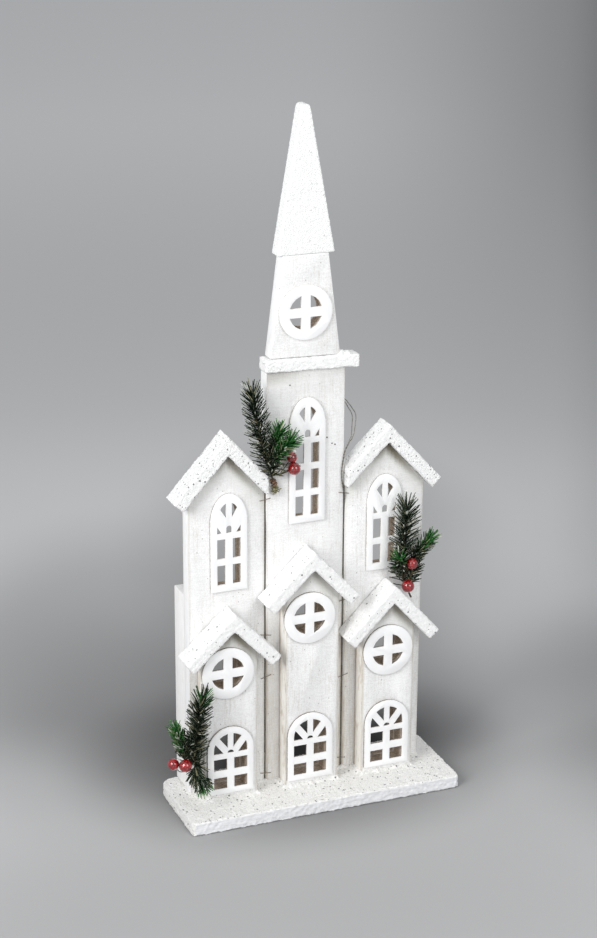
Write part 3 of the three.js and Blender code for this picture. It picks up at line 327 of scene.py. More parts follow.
def snowFinish(name, white=None, hollowShadeTone=None, specks=1.0, depth=0.55, hollowShadeShare=0.6, apart=1.0):
    crust = Finish(name, Roughness=0.9, Specular_IOR_Level=0.3)
    spot = crust.spot()
    grit = crust.cells(spot, 1 / snow["granule"])
    coarse = crust.cells(spot, 0.4)
    lumps = crust.clouds(spot, 0.16, 4, 0.6)
    fine = crust.clouds(spot, 1.6, 3, 0.6)
    height = (1 - grit) * 0.8 + (1 - coarse) * 0.5 + fine * 0.7 + lumps * 0.8
    # Painted shade: the low parts of the relief are darker
    hollowShadeMask = crust.blur(grit + coarse * 0.5 - lumps * 0.4, 0.45, 0.95)
    glint = crust.blur(crust.chance(crust.cells(spot, 1.7, "Color")), 0.93, 0.94)
    tone = crust.mix(hollowShadeMask * hollowShadeShare, white or snow["white"], hollowShadeTone or snow["hollowShadeTone"])
    tone = crust.mix(crust.blur(lumps, 0.55, 0.72) * 0.12, tone, snow["warm"])
    tone = crust.mix(crust.dots(10, 1.9, 0.6) * 0.2 * specks, tone, snow["faint"])
    tone = crust.mix(crust.dots(8 * apart, 1.3, 0.55) * 0.8 * specks, tone, snow["speck"])
    tone = crust.mix(crust.dots(4.5 * apart, 0.8, 0.45) * 0.7 * specks, tone, snow["speck"])
    crust.color(tone)
    crust.roughness(0.92 - glint * 0.72)
    crust.relief(height, depth, 0.9)
    return crust.material


# Front edge of the base: smoother, in cooler paint
edgePaint = {"pale": (0.88, 0.885, 0.90), "grey": (0.78, 0.785, 0.80), "pore": (0.58, 0.585, 0.60),
             "snow": (0.96, 0.96, 0.95), "snowFrom": (13.2, 16.4)}


def baseEdgeFinish():
    coat = Finish("base edge paint", Roughness=0.75, Specular_IOR_Level=0.3)
    spot = coat.spot(0.5, 1, 1)
    strokes = coat.clouds(coat.spot(0.12, 0.4, 1), 1.0, 4, 0.6)
    fine = coat.clouds(spot, 1.2, 3, 0.6)
    top = coat.blur(coat.axis("Z") + fine * 3 + strokes, *edgePaint["snowFrom"])
    tone = coat.mix(coat.blur(strokes, 0.4, 0.7), edgePaint["pale"], edgePaint["grey"])
    tone = coat.mix(coat.blur(fine, 0.55, 0.75) * 0.4, tone, edgePaint["pore"])
    tone = coat.mix(top, tone, edgePaint["snow"])
    coat.color(tone)
    coat.relief(strokes * 0.5 + fine * 0.6 + top * 0.5, 0.4, 0.8)
    return coat.material


# Thin sheet of the windows: smooth white face, and a cut edge that is painted too, but for a
# brown line where it meets the board, which is scorched cut edge and painted contact shade
fretPaint = {"face": (0.95, 0.95, 0.95), "blot": (0.85, 0.85, 0.84), "cut": (0.90, 0.895, 0.88),
             "thinCut": (0.66, 0.63, 0.57), "scorchAndShade": ((0.16, 0.125, 0.09), (0.09, 0.07, 0.05))}


def fretFaceFinish():
    sheet = Finish("fret face", Roughness=0.6, Specular_IOR_Level=0.3)
    grain = sheet.clouds(sheet.spot(), 0.8, 3, 0.5)
    blots = sheet.clouds(sheet.spot(), 0.12, 3, 0.6)
    sheet.color(sheet.mix(sheet.blur(blots, 0.52, 0.75) * 0.2, fretPaint["face"], fretPaint["blot"]))
    sheet.roughness(0.5 + grain * 0.25)
    sheet.relief(grain + blots * 0.6, 0.12, 0.6)
    return sheet.material


def fretCutFinish(name, wall, line, strength):
    edge = Finish(name, Roughness=0.85, Specular_IOR_Level=0.2)
    grain = edge.clouds(edge.spot(), 0.8, 3, 0.5)
    blots = edge.clouds(edge.spot(), 0.12, 3, 0.6)
    scorchAndShade = edge.mix(edge.blur(grain, 0.4, 0.7), *fretPaint["scorchAndShade"])
    # Scorched wood and painted contact shade on the cut edge, next to the board
    bare = edge.blur(edge.axis("Y") + (grain - 0.5) * 1.6 + (blots - 0.5) * 1.4, wall - line - 0.5, wall - line + 0.3)
    paint = edge.mix(edge.blur(blots, 0.42, 0.7) * 0.5, fretPaint["cut"], fretPaint["thinCut"])
    edge.color(edge.mix(bare * strength, paint, scorchAndShade))
    edge.relief(grain, 0.2, 0.6)
    return edge.material


# Fir needles: dark green, paler towards the tip, with straw-coloured and frosted ones between, and pale painted
# highlights
fir = {"straw": (0.50, 0.45, 0.27), "frost": (0.74, 0.77, 0.68)}


def needleFinish(name, deep, bright, tip, fleck):
    leaf = Finish(name, Roughness=0.55, Specular_IOR_Level=0.1)
    along = leaf.mark("along")
    luck = leaf.mark("luck")
    mottle = leaf.clouds(leaf.spot(), 0.7, 2)
    tone = leaf.mix(luck * 0.9 + (mottle - 0.5) * 0.5, deep, bright)
    tone = leaf.mix(leaf.blur(along, 0.55, 1.0) * 0.4, tone, tip)
    straw = leaf.blur(luck, 0.88, 0.91) * leaf.blur(mottle, 0.30, 0.46) * (1 - leaf.blur(along, 0.35, 0.8) * 0.5)
    frost = (1 - leaf.blur(luck, 0.13, 0.16)) * leaf.blur(along + (mottle - 0.5) * 0.8, 0.5, 0.8)
    tone = leaf.mix(straw * 0.9, tone, fir["straw"])
    # Pale flecks are painted highlights on the needles
    glintFlecks = leaf.blur(leaf.clouds(leaf.spot(), 0.9, 2), 0.57, 0.62) * leaf.blur(luck, 0.25, 0.45)
    tone = leaf.mix(glintFlecks * 0.55, tone, fleck)
    leaf.color(leaf.mix(frost * 0.85, tone, fir["frost"]))
    leaf.roughness(0.5 + mottle * 0.25)
    leaf.relief(mottle, 0.1, 0.5)
    return leaf.material


def twigFinish(name, dark, light):
    bark = Finish(name, Roughness=0.85)
    spot = bark.spot()
    rings = bark.clouds(bark.spot(1, 1, 3), 0.7, 4, 0.65)
    bark.color(bark.mix(bark.blur(rings, 0.35, 0.65), dark, light))
    bark.relief(rings + bark.clouds(spot, 1.5, 2) * 0.5, 0.3, 0.8)
    return bark.material


# Berry lacquer crazed into small facets, so that its highlights break up; a few facets carry painted pale pink
# reflections
lacquer = {"deep": (0.17, 0.001, 0.003), "red": (0.40, 0.004, 0.008), "vein": (0.05, 0.001, 0.002),
           "glint": (0.95, 0.30, 0.24), "facets": 0.62}


def berryFinish():
    skin = Finish("red berry lacquer", Roughness=0.2, Specular_IOR_Level=0.35, Coat_Weight=1.0,
                  Coat_Roughness=0.03, Coat_IOR=1.7)
    spot = skin.spot()
    blots = skin.clouds(spot, 0.45, 4, 0.65)
    veins = skin.cells(spot, lacquer["facets"])
    facets = skin.chance(skin.cells(spot, lacquer["facets"], "Color"))
    tone = skin.mix(skin.blur(blots * 0.6 + facets * 0.4, 0.35, 0.7), lacquer["deep"], lacquer["red"])
    tone = skin.mix(skin.blur(veins, 0.5, 0.85) * 0.12, tone, lacquer["vein"])
    # Painted reflection: a few facets turn pale pink
    skin.color(skin.mix(skin.blur(facets, 0.84, 0.88) * 0.12, tone, lacquer["glint"]))
    skin.roughness(0.08 + facets * 0.1)
    skin.relief((1 - veins) * 0.6 + facets * 0.3 + blots * 0.6, 0.06, 0.7)
    return skin.material


def metalFinish(name, tone, dull, roughness, scale=1.0, stretch=(1, 1, 1)):
    metal = Finish(name, Metallic=1.0, Roughness=roughness)
    wear = metal.clouds(metal.spot(*stretch), scale, 4, 0.6)
    fine = metal.clouds(metal.spot(), scale * 4, 2)
    metal.color(metal.mix(metal.blur(wear, 0.45, 0.75), tone, dull))
    metal.roughness(roughness + wear * 0.25)
    metal.relief(wear * 0.5 + fine * 0.5, 0.08, 0.5)
    return metal.material


def plasticFinish(name, tone, worn, roughness=0.45):
    plastic = Finish(name, Roughness=roughness)
    spot = plastic.spot()
    stipple = plastic.cells(spot, 1.4)
    wear = plastic.clouds(spot, 0.09, 4, 0.6)
    scuffs = plastic.clouds(plastic.spot(0.1, 1, 1), 0.8, 3)
    plastic.color(plastic.mix(plastic.blur(wear * 0.6 + scuffs * 0.4, 0.5, 0.72), tone, worn))
    plastic.roughness(roughness + wear * 0.2)
    plastic.relief(1 - stipple, 0.12, 0.5)
    return plastic.material


# Wrapped cell: a dark body, a plain band and a bare metal end, told apart by how far along it is
cellWrap = {"body": ((0.030, 0.045, 0.075), (0.055, 0.07, 0.10)), "band": (0.62, 0.33, 0.10),
            "metal": (0.72, 0.71, 0.69), "bandFrom": (35.4, 35.8), "metalFrom": (48.7, 49.0)}


def cellFinish(name, start, way):
    wrap = Finish(name, Roughness=0.3, Coat_Weight=0.4)
    along = (wrap.axis("X") - start) * way
    fine = wrap.clouds(wrap.spot(), 0.8, 2)
    band = wrap.blur(along, *cellWrap["bandFrom"])
    bare = wrap.blur(along, *cellWrap["metalFrom"])
    tone = wrap.mix(fine * 0.3, *cellWrap["body"])
    tone = wrap.mix(band, tone, cellWrap["band"])
    wrap.color(wrap.mix(bare, tone, cellWrap["metal"]))
    wrap.metal(bare + band * 0.5)
    wrap.roughness(0.26 + fine * 0.18)
    wrap.relief(fine, 0.05, 0.4)
    return wrap.material


def dropFinish():
    resin = Finish("clear light drop", Roughness=0.12, IOR=1.5, Transmission_Weight=0.75)
    blots = resin.clouds(resin.spot(), 0.9, 3)
    resin.color(resin.mix(blots, (0.93, 0.92, 0.86), (0.80, 0.76, 0.60)))
    resin.relief(blots, 0.1, 0.4)
    return resin.material


finishes = {
    "snow": snowFinish("snow crust"),
    "capSnow": snowFinish("cap snow crust", specks=0.35),
    "speckledSnow": snowFinish("speckled snow crust", depth=0.7, hollowShadeShare=0.45, apart=0.72),
    "baseSnow": snowFinish("base snow crust", (0.99, 0.985, 0.965), (0.87, 0.855, 0.81), 1.0, 1.15, 0.75, 0.8),
    "baseEdge": baseEdgeFinish(),
    "underside": whitewashFinish("underside paint", paint=(0.80, 0.79, 0.76)),
    "houseSide": sideFinish("house side", place["houseFront"], place["towerFront"], (0.93, 0.915, 0.88),
                            (0.70, 0.65, 0.56), 0.8),
    "grooveSide": sideFinish("groove side", place["towerFront"], place["towerBack"], (0.40, 0.33, 0.24),
                             (0.20, 0.15, 0.09), 0.7, fade=(345, 385), sprayed=1.9),
    "outerSide": sideFinish("outer side", place["towerFront"], place["towerBack"], (0.94, 0.94, 0.94),
                            (0.84, 0.84, 0.845), 0.10),
    "sawnHouse": sawnFinish("sawn house opening", place["houseFront"]),
    "sawnTower": sawnFinish("sawn tower opening", place["towerFront"]),
    "fretFace": fretFaceFinish(),
    "houseFretCut": fretCutFinish("house fret cut edge", place["houseFront"], 1.5, 0.95),
    "towerFretCut": fretCutFinish("tower fret cut edge", place["towerFront"], 0.75, 0.8),
    "spireFretCut": fretCutFinish("spire fret cut edge", place["towerFront"], 0.5, 0.45),
    "darkNeedle": needleFinish("dark fir needle", (0.003, 0.007, 0.004), (0.010, 0.026, 0.011), (0.035, 0.06, 0.025),
                               (0.48, 0.51, 0.40)),
    "greenNeedle": needleFinish("green fir needle", (0.003, 0.022, 0.006), (0.017, 0.16, 0.026), (0.10, 0.30, 0.07),
                                (0.30, 0.52, 0.24)),
    "bark": twigFinish("twig bark", (0.035, 0.024, 0.015), (0.10, 0.075, 0.045)),
    "binding": twigFinish("stem binding", (0.045, 0.022, 0.013), (0.33, 0.19, 0.11)),
    "curl": twigFinish("binding curl", (0.03, 0.03, 0.012), (0.46, 0.42, 0.22)),
    "berryWire": twigFinish("berry stalk", (0.03, 0.035, 0.018), (0.10, 0.10, 0.05)),
    "berry": berryFinish(),
    "wire": metalFinish("light string wire", (0.27, 0.26, 0.23), (0.10, 0.085, 0.06), 0.38, 0.6),
    "drop": dropFinish(),
    "staple": metalFinish("staple", (0.34, 0.30, 0.25), (0.16, 0.09, 0.05), 0.42, 0.9),
    "brad": metalFinish("brad nail", (0.24, 0.22, 0.20), (0.10, 0.06, 0.04), 0.5, 1.1),
    "screw": metalFinish("screw steel", (0.52, 0.52, 0.53), (0.33, 0.32, 0.31), 0.34, 0.8),
    "nickel": metalFinish("nickel contact", (0.72, 0.70, 0.66), (0.52, 0.49, 0.44), 0.24, 0.9),
    "caseBlack": plasticFinish("battery case plastic", (0.012, 0.012, 0.013), (0.035, 0.035, 0.036)),
    "switchGrey": plasticFinish("switch plastic", (0.045, 0.045, 0.048), (0.09, 0.09, 0.09), 0.38),
}


# Pieces

def toPiece(bm, name, finishList, replaced=(), body="church", crease=35):
    mesh = bpy.data.meshes.new(name)
    bm.to_mesh(mesh)
    bm.free()
    for finish in finishList:
        mesh.materials.append(finish)
    mesh.shade_smooth()
    mesh.set_sharp_from_angle(angle=math.radians(crease))
    piece = bpy.data.objects.new(name, mesh)
    collection.objects.link(piece)
    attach(piece, body)
    if replaced:
        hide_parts(*replaced)
    return piece


def cleanCopy(*nodeNames):
    bm = bmesh.new()
    for nodeName in nodeNames:
        bm.from_mesh(nodes[nodeName].data)
    bmesh.ops.remove_doubles(bm, verts=bm.verts, dist=0.01 * mm)
    bmesh.ops.dissolve_limit(bm, angle_limit=math.radians(1), verts=bm.verts, edges=bm.edges)
    return bm


def sharpEdges(bm, angle=30):
    limit = math.radians(angle)
    return [edge for edge in bm.edges if len(edge.link_faces) == 2 and edge.calc_face_angle() > limit]


def bevelEdges(bm, edges, width, segments=2):
    bmesh.ops.bevel(bm, geom=edges, offset=width * mm, offset_type="OFFSET", segments=segments,
                    profile=0.5, affect="EDGES", clamp_overlap=True, material=-1)


print("boards")

# Boards keep the node's outline, with worn edges. Faces inside a window opening stay bare wood.
board = {"wornEdge": 0.9, "fretEdge": 0.35}
windowBoxes = [nodeBox(name) for name in nodes if name.endswith("_window")]


def inOpening(face):
    spot = face.calc_center_median() / mm
    return any(low.x < spot.x < high.x and low.z < spot.z < high.z for low, high in windowBoxes)


def dressBoard(nodeName, sideName, sawnName, gabled=True, **shares):
    low, high = nodeBox(nodeName)
    bm = cleanCopy(nodeName)
    for face in bm.faces:
        spot = face.calc_center_median().x / mm
        outside = nodeName in outerBoards and (spot < low.x + 0.1 if "left" in nodeName else spot > high.x - 0.1)
        if abs(face.normal.y) > 0.5:
            face.material_index = 0
        else:
            face.material_index = 2 if inOpening(face) else (3 if outside else 1)
    bevelEdges(bm, sharpEdges(bm), board["wornEdge"])
    paint = whitewashFinish(nodeName.replace("_", " ") + " whitewash", (low.x + high.x) / 2, (high.x - low.x) / 2,
                            gableOf(nodeName) if gabled else None, **shares)
    finishList = [paint, finishes[sideName], finishes[sawnName], finishes["outerSide"]]
    return toPiece(bm, nodeName + "_timber", finishList, [nodeName])


outerBoards = ("left_tower_board", "right_tower_board")
lowerPaint = (0.98, 0.98, 0.975)
dressBoard("left_tower_board", "grooveSide", "sawnTower", rim=0.4)
dressBoard("centre_tower_board", "grooveSide", "sawnTower", rim=0.2, sparse=0.45, stain=(1, 1))
dressBoard("right_tower_board", "grooveSide", "sawnTower", paint=lowerPaint, rim=0.3, sparse=0.95, stain=(1, 0))
dressBoard("spire_board", "outerSide", "sawnTower", False, rim=0.0)
dressBoard("left_house_board", "houseSide", "sawnHouse", paint=lowerPaint, rim=0.5, sparse=0.9)
dressBoard("centre_house_board", "houseSide", "sawnHouse", paint=lowerPaint, rim=0.5, sparse=0.6)
dressBoard("right_house_board", "houseSide", "sawnHouse", paint=lowerPaint, rim=0.6, sparse=0.8)
for nodeName in ("left_rear_strut", "right_rear_strut", "cross_batten"):
    dressBoard(nodeName, "outerSide", "sawnTower", False, rim=0.15)


def dressFret(nodeName):
    bm = cleanCopy(nodeName)
    for face in bm.faces:
        face.material_index = 0 if abs(face.normal.y) > 0.5 else 1
    bevelEdges(bm, sharpEdges(bm), board["fretEdge"])
    kind = "spire" if nodeName.startswith("spire") else "house" if "house" in nodeName else "tower"
    finishList = [finishes["fretFace"], finishes[kind + "FretCut"]]
    return toPiece(bm, nodeName + "_sheet", finishList, [nodeName])


for nodeName in [name for name in nodes if name.endswith("_window")]:
    dressFret(nodeName)


print("snow")

# Snow pieces are remeshed to fine squares, softened, then roughened inwards, most at their edges
crust = {
    "roof": {"soft": 2, "grain": 1.0, "lumps": 1.05, "chips": 1.7, "proud": 0.4},
    "cap": {"soft": 2, "grain": 1.1, "lumps": 0.35, "chips": 0.4, "proud": 0},
    "cornice": {"soft": 2, "grain": 1.0, "lumps": 1.1, "chips": 2.4, "proud": 0.2},
    "base": {"soft": 2, "grain": 1.2, "lumps": 1.4, "chips": 3.0, "proud": 0},
}
rough = {"lumpScale": 0.32, "chipScale": 0.13, "chipShift": Vector((7, 3, 5)), "chipShare": 0.25, "tallest": 1.2}


def remeshed(piece, size):
    modifier = piece.modifiers.new("fine squares", "REMESH")
    modifier.mode = "VOXEL"
    modifier.voxel_size = size * mm
    modifier.use_smooth_shade = True
    mesh = bpy.data.meshes.new_from_object(piece.evaluated_get(bpy.context.evaluated_depsgraph_get()))
    piece.modifiers.clear()
    old = piece.data
    piece.data = mesh
    bpy.data.meshes.remove(old)
    return piece


# How far a face's way is from straight along the board's own axes: 0 on a flat, 1 on an edge
def edgeness(normal, ways):
    return 1 - max(abs(normal.dot(way)) for way in ways) ** 4


def roughen(piece, look, ways, low, high):
    bm = bmesh.new()
    bm.from_mesh(piece.data)
    for turn in range(look["soft"]):
        bmesh.ops.smooth_vert(bm, verts=bm.verts, factor=0.5, use_axis_x=True, use_axis_y=True, use_axis_z=True)
    bm.normal_update()
    moves = []
    for vert in bm.verts:
        spot = vert.co / mm
        wear = edgeness(vert.normal, ways)
        lump = 0.5 + 0.5 * noise.fractal(spot * rough["lumpScale"], 0.9, 2.1, 4)
        spread = noise.fractal(spot * rough["chipScale"] + rough["chipShift"], 1.0, 2.0, 3)
        chip = max(0.0, spread + rough["chipShare"])
        lump = min(max(lump, 0.0), rough["tallest"]) - look["proud"]
        depth = look["lumps"] * lump + look["chips"] * wear * chip
        moves.append((vert, vert.normal * depth * mm))
    for vert, move in moves:
        vert.co -= move
        for axis in range(3):
            vert.co[axis] = min(max(vert.co[axis], low[axis] * mm), high[axis] * mm)
    bm.to_mesh(piece.data)
    bm.free()
    piece.data.shade_smooth()


# A lump is an egg of snow that melts into the crust: its middle and its half sizes
def dressSnow(name, nodeNames, look, finishList, ways, pick=None, lumps=()):
    corners = [corner for nodeName in nodeNames for corner in nodeBox(nodeName)]
    low = Vector(min(corner[axis] for corner in corners) for axis in range(3))
    high = Vector(max(corner[axis] for corner in corners) for axis in range(3))
    for middle, half in lumps:
        low = Vector(min(low[axis], middle[axis] - half[axis]) for axis in range(3))
        high = Vector(max(high[axis], middle[axis] + half[axis]) for axis in range(3))
    bm = cleanCopy(*nodeNames)
    for middle, half in lumps:
        made = bmesh.ops.create_icosphere(bm, subdivisions=2, radius=1.0)
        egg = Matrix.Translation(Vector(middle) * mm) @ Matrix.Diagonal((*(Vector(half) * mm), 1))
        bmesh.ops.transform(bm, verts=made["verts"], matrix=egg)
    piece = toPiece(bm, name, finishList, nodeNames)
    remeshed(piece, look["grain"])
    for finish in finishList:
        if finish.name not in piece.data.materials:
            piece.data.materials.append(finish)
    roughen(piece, look, ways, low, high)
    if pick:
        for polygon in piece.data.polygons:
            polygon.material_index = pick(polygon)
    return piece


upright = [Vector((1, 0, 0)), Vector((0, 1, 0)), Vector((0, 0, 1))]


# A slat's own ways: along it, across it and through it
def slatWays(nodeName):
    mesh = nodes[nodeName].data
    longest = max(mesh.edges, key=lambda edge: slopeRun(mesh, edge))
    first, second = (mesh.vertices[index].co for index in longest.vertices)
    along = (second - first).normalized()
    return [along, Vector((0, 1, 0)), along.cross(Vector((0, 1, 0))).normalized()]


def slopeRun(mesh, edge):
    first, second = (mesh.vertices[index].co for index in edge.vertices)
    return (second - first).length if abs(second.y - first.y) < 0.1 * mm else 0.0


# One crust over both slats of a roof, so that it fills the joint at the ridge
for roof in ("left_tower", "right_tower", "left_house", "centre_house", "right_house"):
    pair = [name for name in nodes if name.startswith(roof) and name.endswith("_slat")]
    kind = "speckledSnow" if roof.endswith("tower") else "snow"
    dressSnow(roof + "_roof_snow", pair, crust["roof"], [finishes[kind]], slatWays(pair[0]) + slatWays(pair[1]))
dressSnow("spire_cap_snow", ["spire_cap"], crust["cap"], [finishes["capSnow"]], upright)
spireLow, spireHigh = nodeBox("spire_board")
corniceLumps = [
    ((spireHigh.x + 1.5, 11, spireLow.z), (5, 5, 4.5)), ((spireHigh.x + 8, 12, spireLow.z - 0.5), (6, 6, 3)),
    ((spireLow.x - 4, 11, spireLow.z - 0.5), (5, 5, 3)),
]
dressSnow("tower_cornice_snow", ["tower_cornice"], crust["cornice"], [finishes["capSnow"]], upright,
          lumps=corniceLumps)


# Snow drifted against the feet of the boards
drift = {"rise": 4.6, "reach": 4.2, "step": 5}


def driftsRound(nodeName, chance):
    low, high = nodeBox(nodeName)
    corners = [Vector(spot) for spot in ((low.x, high.y), (low.x, low.y), (high.x, low.y), (high.x, high.y))]
    drifts = []
    for first, second in zip(corners, corners[1:]):
        count = max(1, round((second - first).length / drift["step"]))
        for index in range(count):
            spot = first.lerp(second, index / count)
            reach = drift["reach"] * chance.uniform(0.7, 1.1)
            rise = drift["rise"] * chance.uniform(0.55, 1.1)
            drifts.append(((spot.x, spot.y, place["baseTop"] - 0.4), (reach, reach, rise)))
    return drifts


drifts = [
    egg for name in nodes if name.endswith(("_house_board", "_tower_board"))
    for egg in driftsRound(name, random.Random(name))
]


# The base: snow on top and over its left end, cool paint along the front, bare below
base = {"paintFrom": -148, "paintBefore": -48}


def basePart(polygon):
    if polygon.normal.z < -0.7:
        return 2
    spot = polygon.center / mm
    if polygon.normal.y < -0.6 and spot.x > base["paintFrom"] and spot.y < base["paintBefore"]:
        return 1
    return 0


dressSnow("base_snow", ["base_board"], crust["base"],
          [finishes["baseSnow"], finishes["baseEdge"], finishes["underside"]], upright, basePart, drifts)


print("sprigs")

# Fir sprigs: points of each twig from its foot, in millimetres
needle = {"length": 18.5, "width": 0.74, "tipWidth": 0.46, "thin": 0.72, "thinAbove": 0.88, "flatness": 0.8,
          "spacing": 0.32, "turn": 137.5, "spread": 50, "tipSpread": 28, "sway": 6, "strawBelow": 0.42}

# "green" is how far along a twig its needles turn from dark to bright green, and "straw" how rare
# straw-coloured ones are
sprigs = {
    "upper": {
        "bareStem": 17,
        "binding": {"from": (-37.4, 4.9, 342.5), "to": (-41.5, 4.9, 355.5), "radius": 3.5, "curls": 14},
        "twigs": [
            {"green": 1.1, "points": [(-37.3, 5, 342), (-41.4, 5, 356), (-46.4, 3, 371.2), (-52.9, 0, 390),
                                      (-58.5, -2, 409.2), (-63, -4, 428.1), (-66.6, -5, 445.5), (-67.6, -5, 452.9)]},
            {"green": 0.35, "spacing": 0.2, "length": 15, "spread": 44,
             "points": [(-46.8, 2.7, 372), (-41.3, -6, 384.1), (-36.1, -12, 393.9), (-29.3, -16, 402.3)]},
            {"green": 0.62, "spacing": 0.2, "length": 16, "spread": 44,
             "points": [(-47.1, 2.4, 374.7), (-45.1, -2, 388.6), (-41.3, -6, 401), (-40.4, -10, 411)]},
            {"green": 1.1, "points": [(-43.2, 4.1, 361.5), (-41, 0, 368.3), (-37.2, -4, 374.5)]},
            {"green": 1.1, "length": 12, "spacing": 0.3, "straw": 0.14, "spread": 38,
             "points": [(-43, 4.2, 360.5), (-38.5, 0, 362), (-33, -3, 364.5), (-29, -5, 367)]},
        ],
        "berries": [((-22.2, -5, 368.2), 6.7), ((-23.3, -1, 378.9), 5.7)],
        "stalk": [(-29, -2, 364.5), (-34.5, 1, 362.5), (-29.5, 0, 370)],
    },
    "right": {
        "bareStem": 13,
        "twigs": [
            {"green": 1.1, "length": 20, "spread": 54,
             "points": [(114.1, 1, 205), (110.1, 3, 215.1), (106.8, 5, 225), (103.9, 2, 236.8), (102.8, -1, 249.4),
                        (102, -4, 273.1), (102.9, -6, 296), (102.7, -8, 311.7)]},
            {"green": 0.74, "length": 13.5, "spread": 42, "spacing": 0.18,
             "points": [(106.8, 4, 227.7), (109.4, -1, 240.6), (114.7, -5, 253.2), (121.1, -8, 263.5),
                        (129.5, -10, 274.2)]},
            {"green": 0.8, "length": 15, "spacing": 0.18,
             "points": [(104, 2, 235.7), (98.4, -6, 246.3), (93.7, -12, 256)]},
            {"green": 1.1, "length": 14, "spacing": 0.2,
             "points": [(108.8, 2.5, 218), (110.8, -1, 227), (114.5, -4, 240)]},
        ],
        "berries": [((105.1, -10, 223.3), 6.8), ((108.2, -12, 249), 6.2)],
        "stalk": [(107, -3, 218), (109, -1, 222), (110.5, -7, 235)],
    },
    "lower": {
        "bareStem": 4,
        "twigs": [
            {"green": 0.96, "spacing": 0.24,
             "points": [(-124.7, -3, 54), (-130, -10, 57), (-134.8, -14, 62.8), (-134.3, -18, 85.2),
                        (-132.8, -22, 112.9), (-130.1, -26, 140.1)]},
            {"green": 0.45, "spread": 36, "length": 14, "spacing": 0.2,
             "points": [(-134.5, -13.8, 61.6), (-141.3, -12, 63.5), (-146.5, -12, 79), (-150.8, -12, 93),
                        (-153.8, -12, 101.5)]},
            {"green": 1.1, "spacing": 0.25, "length": 15,
             "points": [(-134.8, -14.1, 63.5), (-138.3, -13, 67.1), (-142.6, -16, 80.4), (-144.8, -18, 90.5)]},
            {"green": 0.8, "spread": 40, "length": 16.5, "spacing": 0.1,
             "points": [(-134.3, -13.6, 61), (-134.8, -18, 54.5), (-133, -20.7, 49), (-130.3, -23, 42.6)]},
        ],
        "berries": [((-157.5, -13.3, 65.3), 6.2), ((-146.9, -20.5, 65.2), 6.8)],
        "stalk": [(-151, -15, 56.5), (-138.6, -16.3, 57.5), (-143, -18, 58.5)],
    },
}


# A smooth line through the points, in even steps of the given length, all in millimetres
def smoothLine(points, step):
    given = [Vector(point) for point in points]
    ends = [given[0] * 2 - given[1], *given, given[-1] * 2 - given[-2]]
    fine = [given[0]]
    for index in range(1, len(ends) - 2):
        before, start, end, after = ends[index - 1:index + 3]
        knots = [0.0]
        for first, second in ((before, start), (start, end), (end, after)):
            knots.append(knots[-1] + max((second - first).length, 1e-6) ** 0.5)
        count = max(2, math.ceil((end - start).length / step * 2))
        for part in range(1, count + 1):
            t = knots[1] + (knots[2] - knots[1]) * part / count
            fine.append(throughFour((before, start, end, after), knots, t))
    return evenSteps(fine, step)


def throughFour(points, knots, t):
    level = list(points)
    for reach in (1, 2, 3):
        spots = list(zip(level, level[1:]))
        if reach == 3:
            spots = [tuple(level)]
        level = [
            first.lerp(second, share(t, knots, index, reach))
            for index, (first, second) in enumerate(spots)
        ]
    return level[0]


def share(t, knots, index, reach):
    if reach == 3:
        low, high = knots[1], knots[2]
    elif reach == 2:
        low, high = knots[index], knots[index + 2]
    else:
        low, high = knots[index], knots[index + 1]
    return (t - low) / (high - low)


def evenSteps(line, step):
    total = sum((b - a).length for a, b in zip(line, line[1:]))
    count = max(2, round(total / step))
    even = [line[0]]
    gone = 0.0
    for first, second in zip(line, line[1:]):
        length = (second - first).length
        while len(even) < count and gone + length >= total * len(even) / count:
            even.append(first.lerp(second, (total * len(even) / count - gone) / length))
        gone += length
    even.append(line[-1])
    return even


# A round wire along a line of points in millimetres
def wireInto(bm, line, radius, resolution=2):
    curve = bpy.data.curves.new("wire", "CURVE")
    curve.dimensions = "3D"
    curve.bevel_depth = radius * mm
    curve.bevel_resolution = resolution
    curve.use_fill_caps = True
    spline = curve.splines.new("POLY")
    spline.points.add(len(line) - 1)
    for point, spot in zip(spline.points, line):
        point.co = (*(Vector(spot) * mm), 1)
    holder = bpy.data.objects.new("wire", curve)
    mesh = bpy.data.meshes.new_from_object(holder)
    bm.from_mesh(mesh)
    bpy.data.objects.remove(holder)
    bpy.data.curves.remove(curve)
    bpy.data.meshes.remove(mesh)


def setFinish(bm, count, index):
    bm.faces.ensure_lookup_table()
    for face in bm.faces[count:]:
        face.material_index = index


# One needle: a flat four-sided blade with a blunt tip
def addNeedle(bm, foot, way, flatWay, length, index, luck):
    side = way.cross(flatWay).normalized()
    turn = Matrix((side, way.cross(side), way)).transposed().to_4x4()
    thin = needle["thin"] if luck > needle["thinAbove"] else 1.0
    made = bmesh.ops.create_cone(bm, cap_ends=True, segments=4, radius1=needle["width"] * thin * mm,
                                 radius2=needle["tipWidth"] * thin * mm, depth=length * mm,
                                 matrix=Matrix.Translation((0, 0, length / 2 * mm)))
    verts = made["verts"]
    alongMark = bm.verts.layers.float["along"]
    luckMark = bm.verts.layers.float["luck"]
    for vert in verts:
        vert[alongMark] = 1.0 if vert.co.z > length / 2 * mm else 0.0
        vert[luckMark] = luck
        vert.co.y *= needle["flatness"]
    bmesh.ops.transform(bm, verts=verts, matrix=Matrix.Translation(foot * mm) @ turn)
    for face in {face for vert in verts for face in vert.link_faces}:
        face.material_index = index


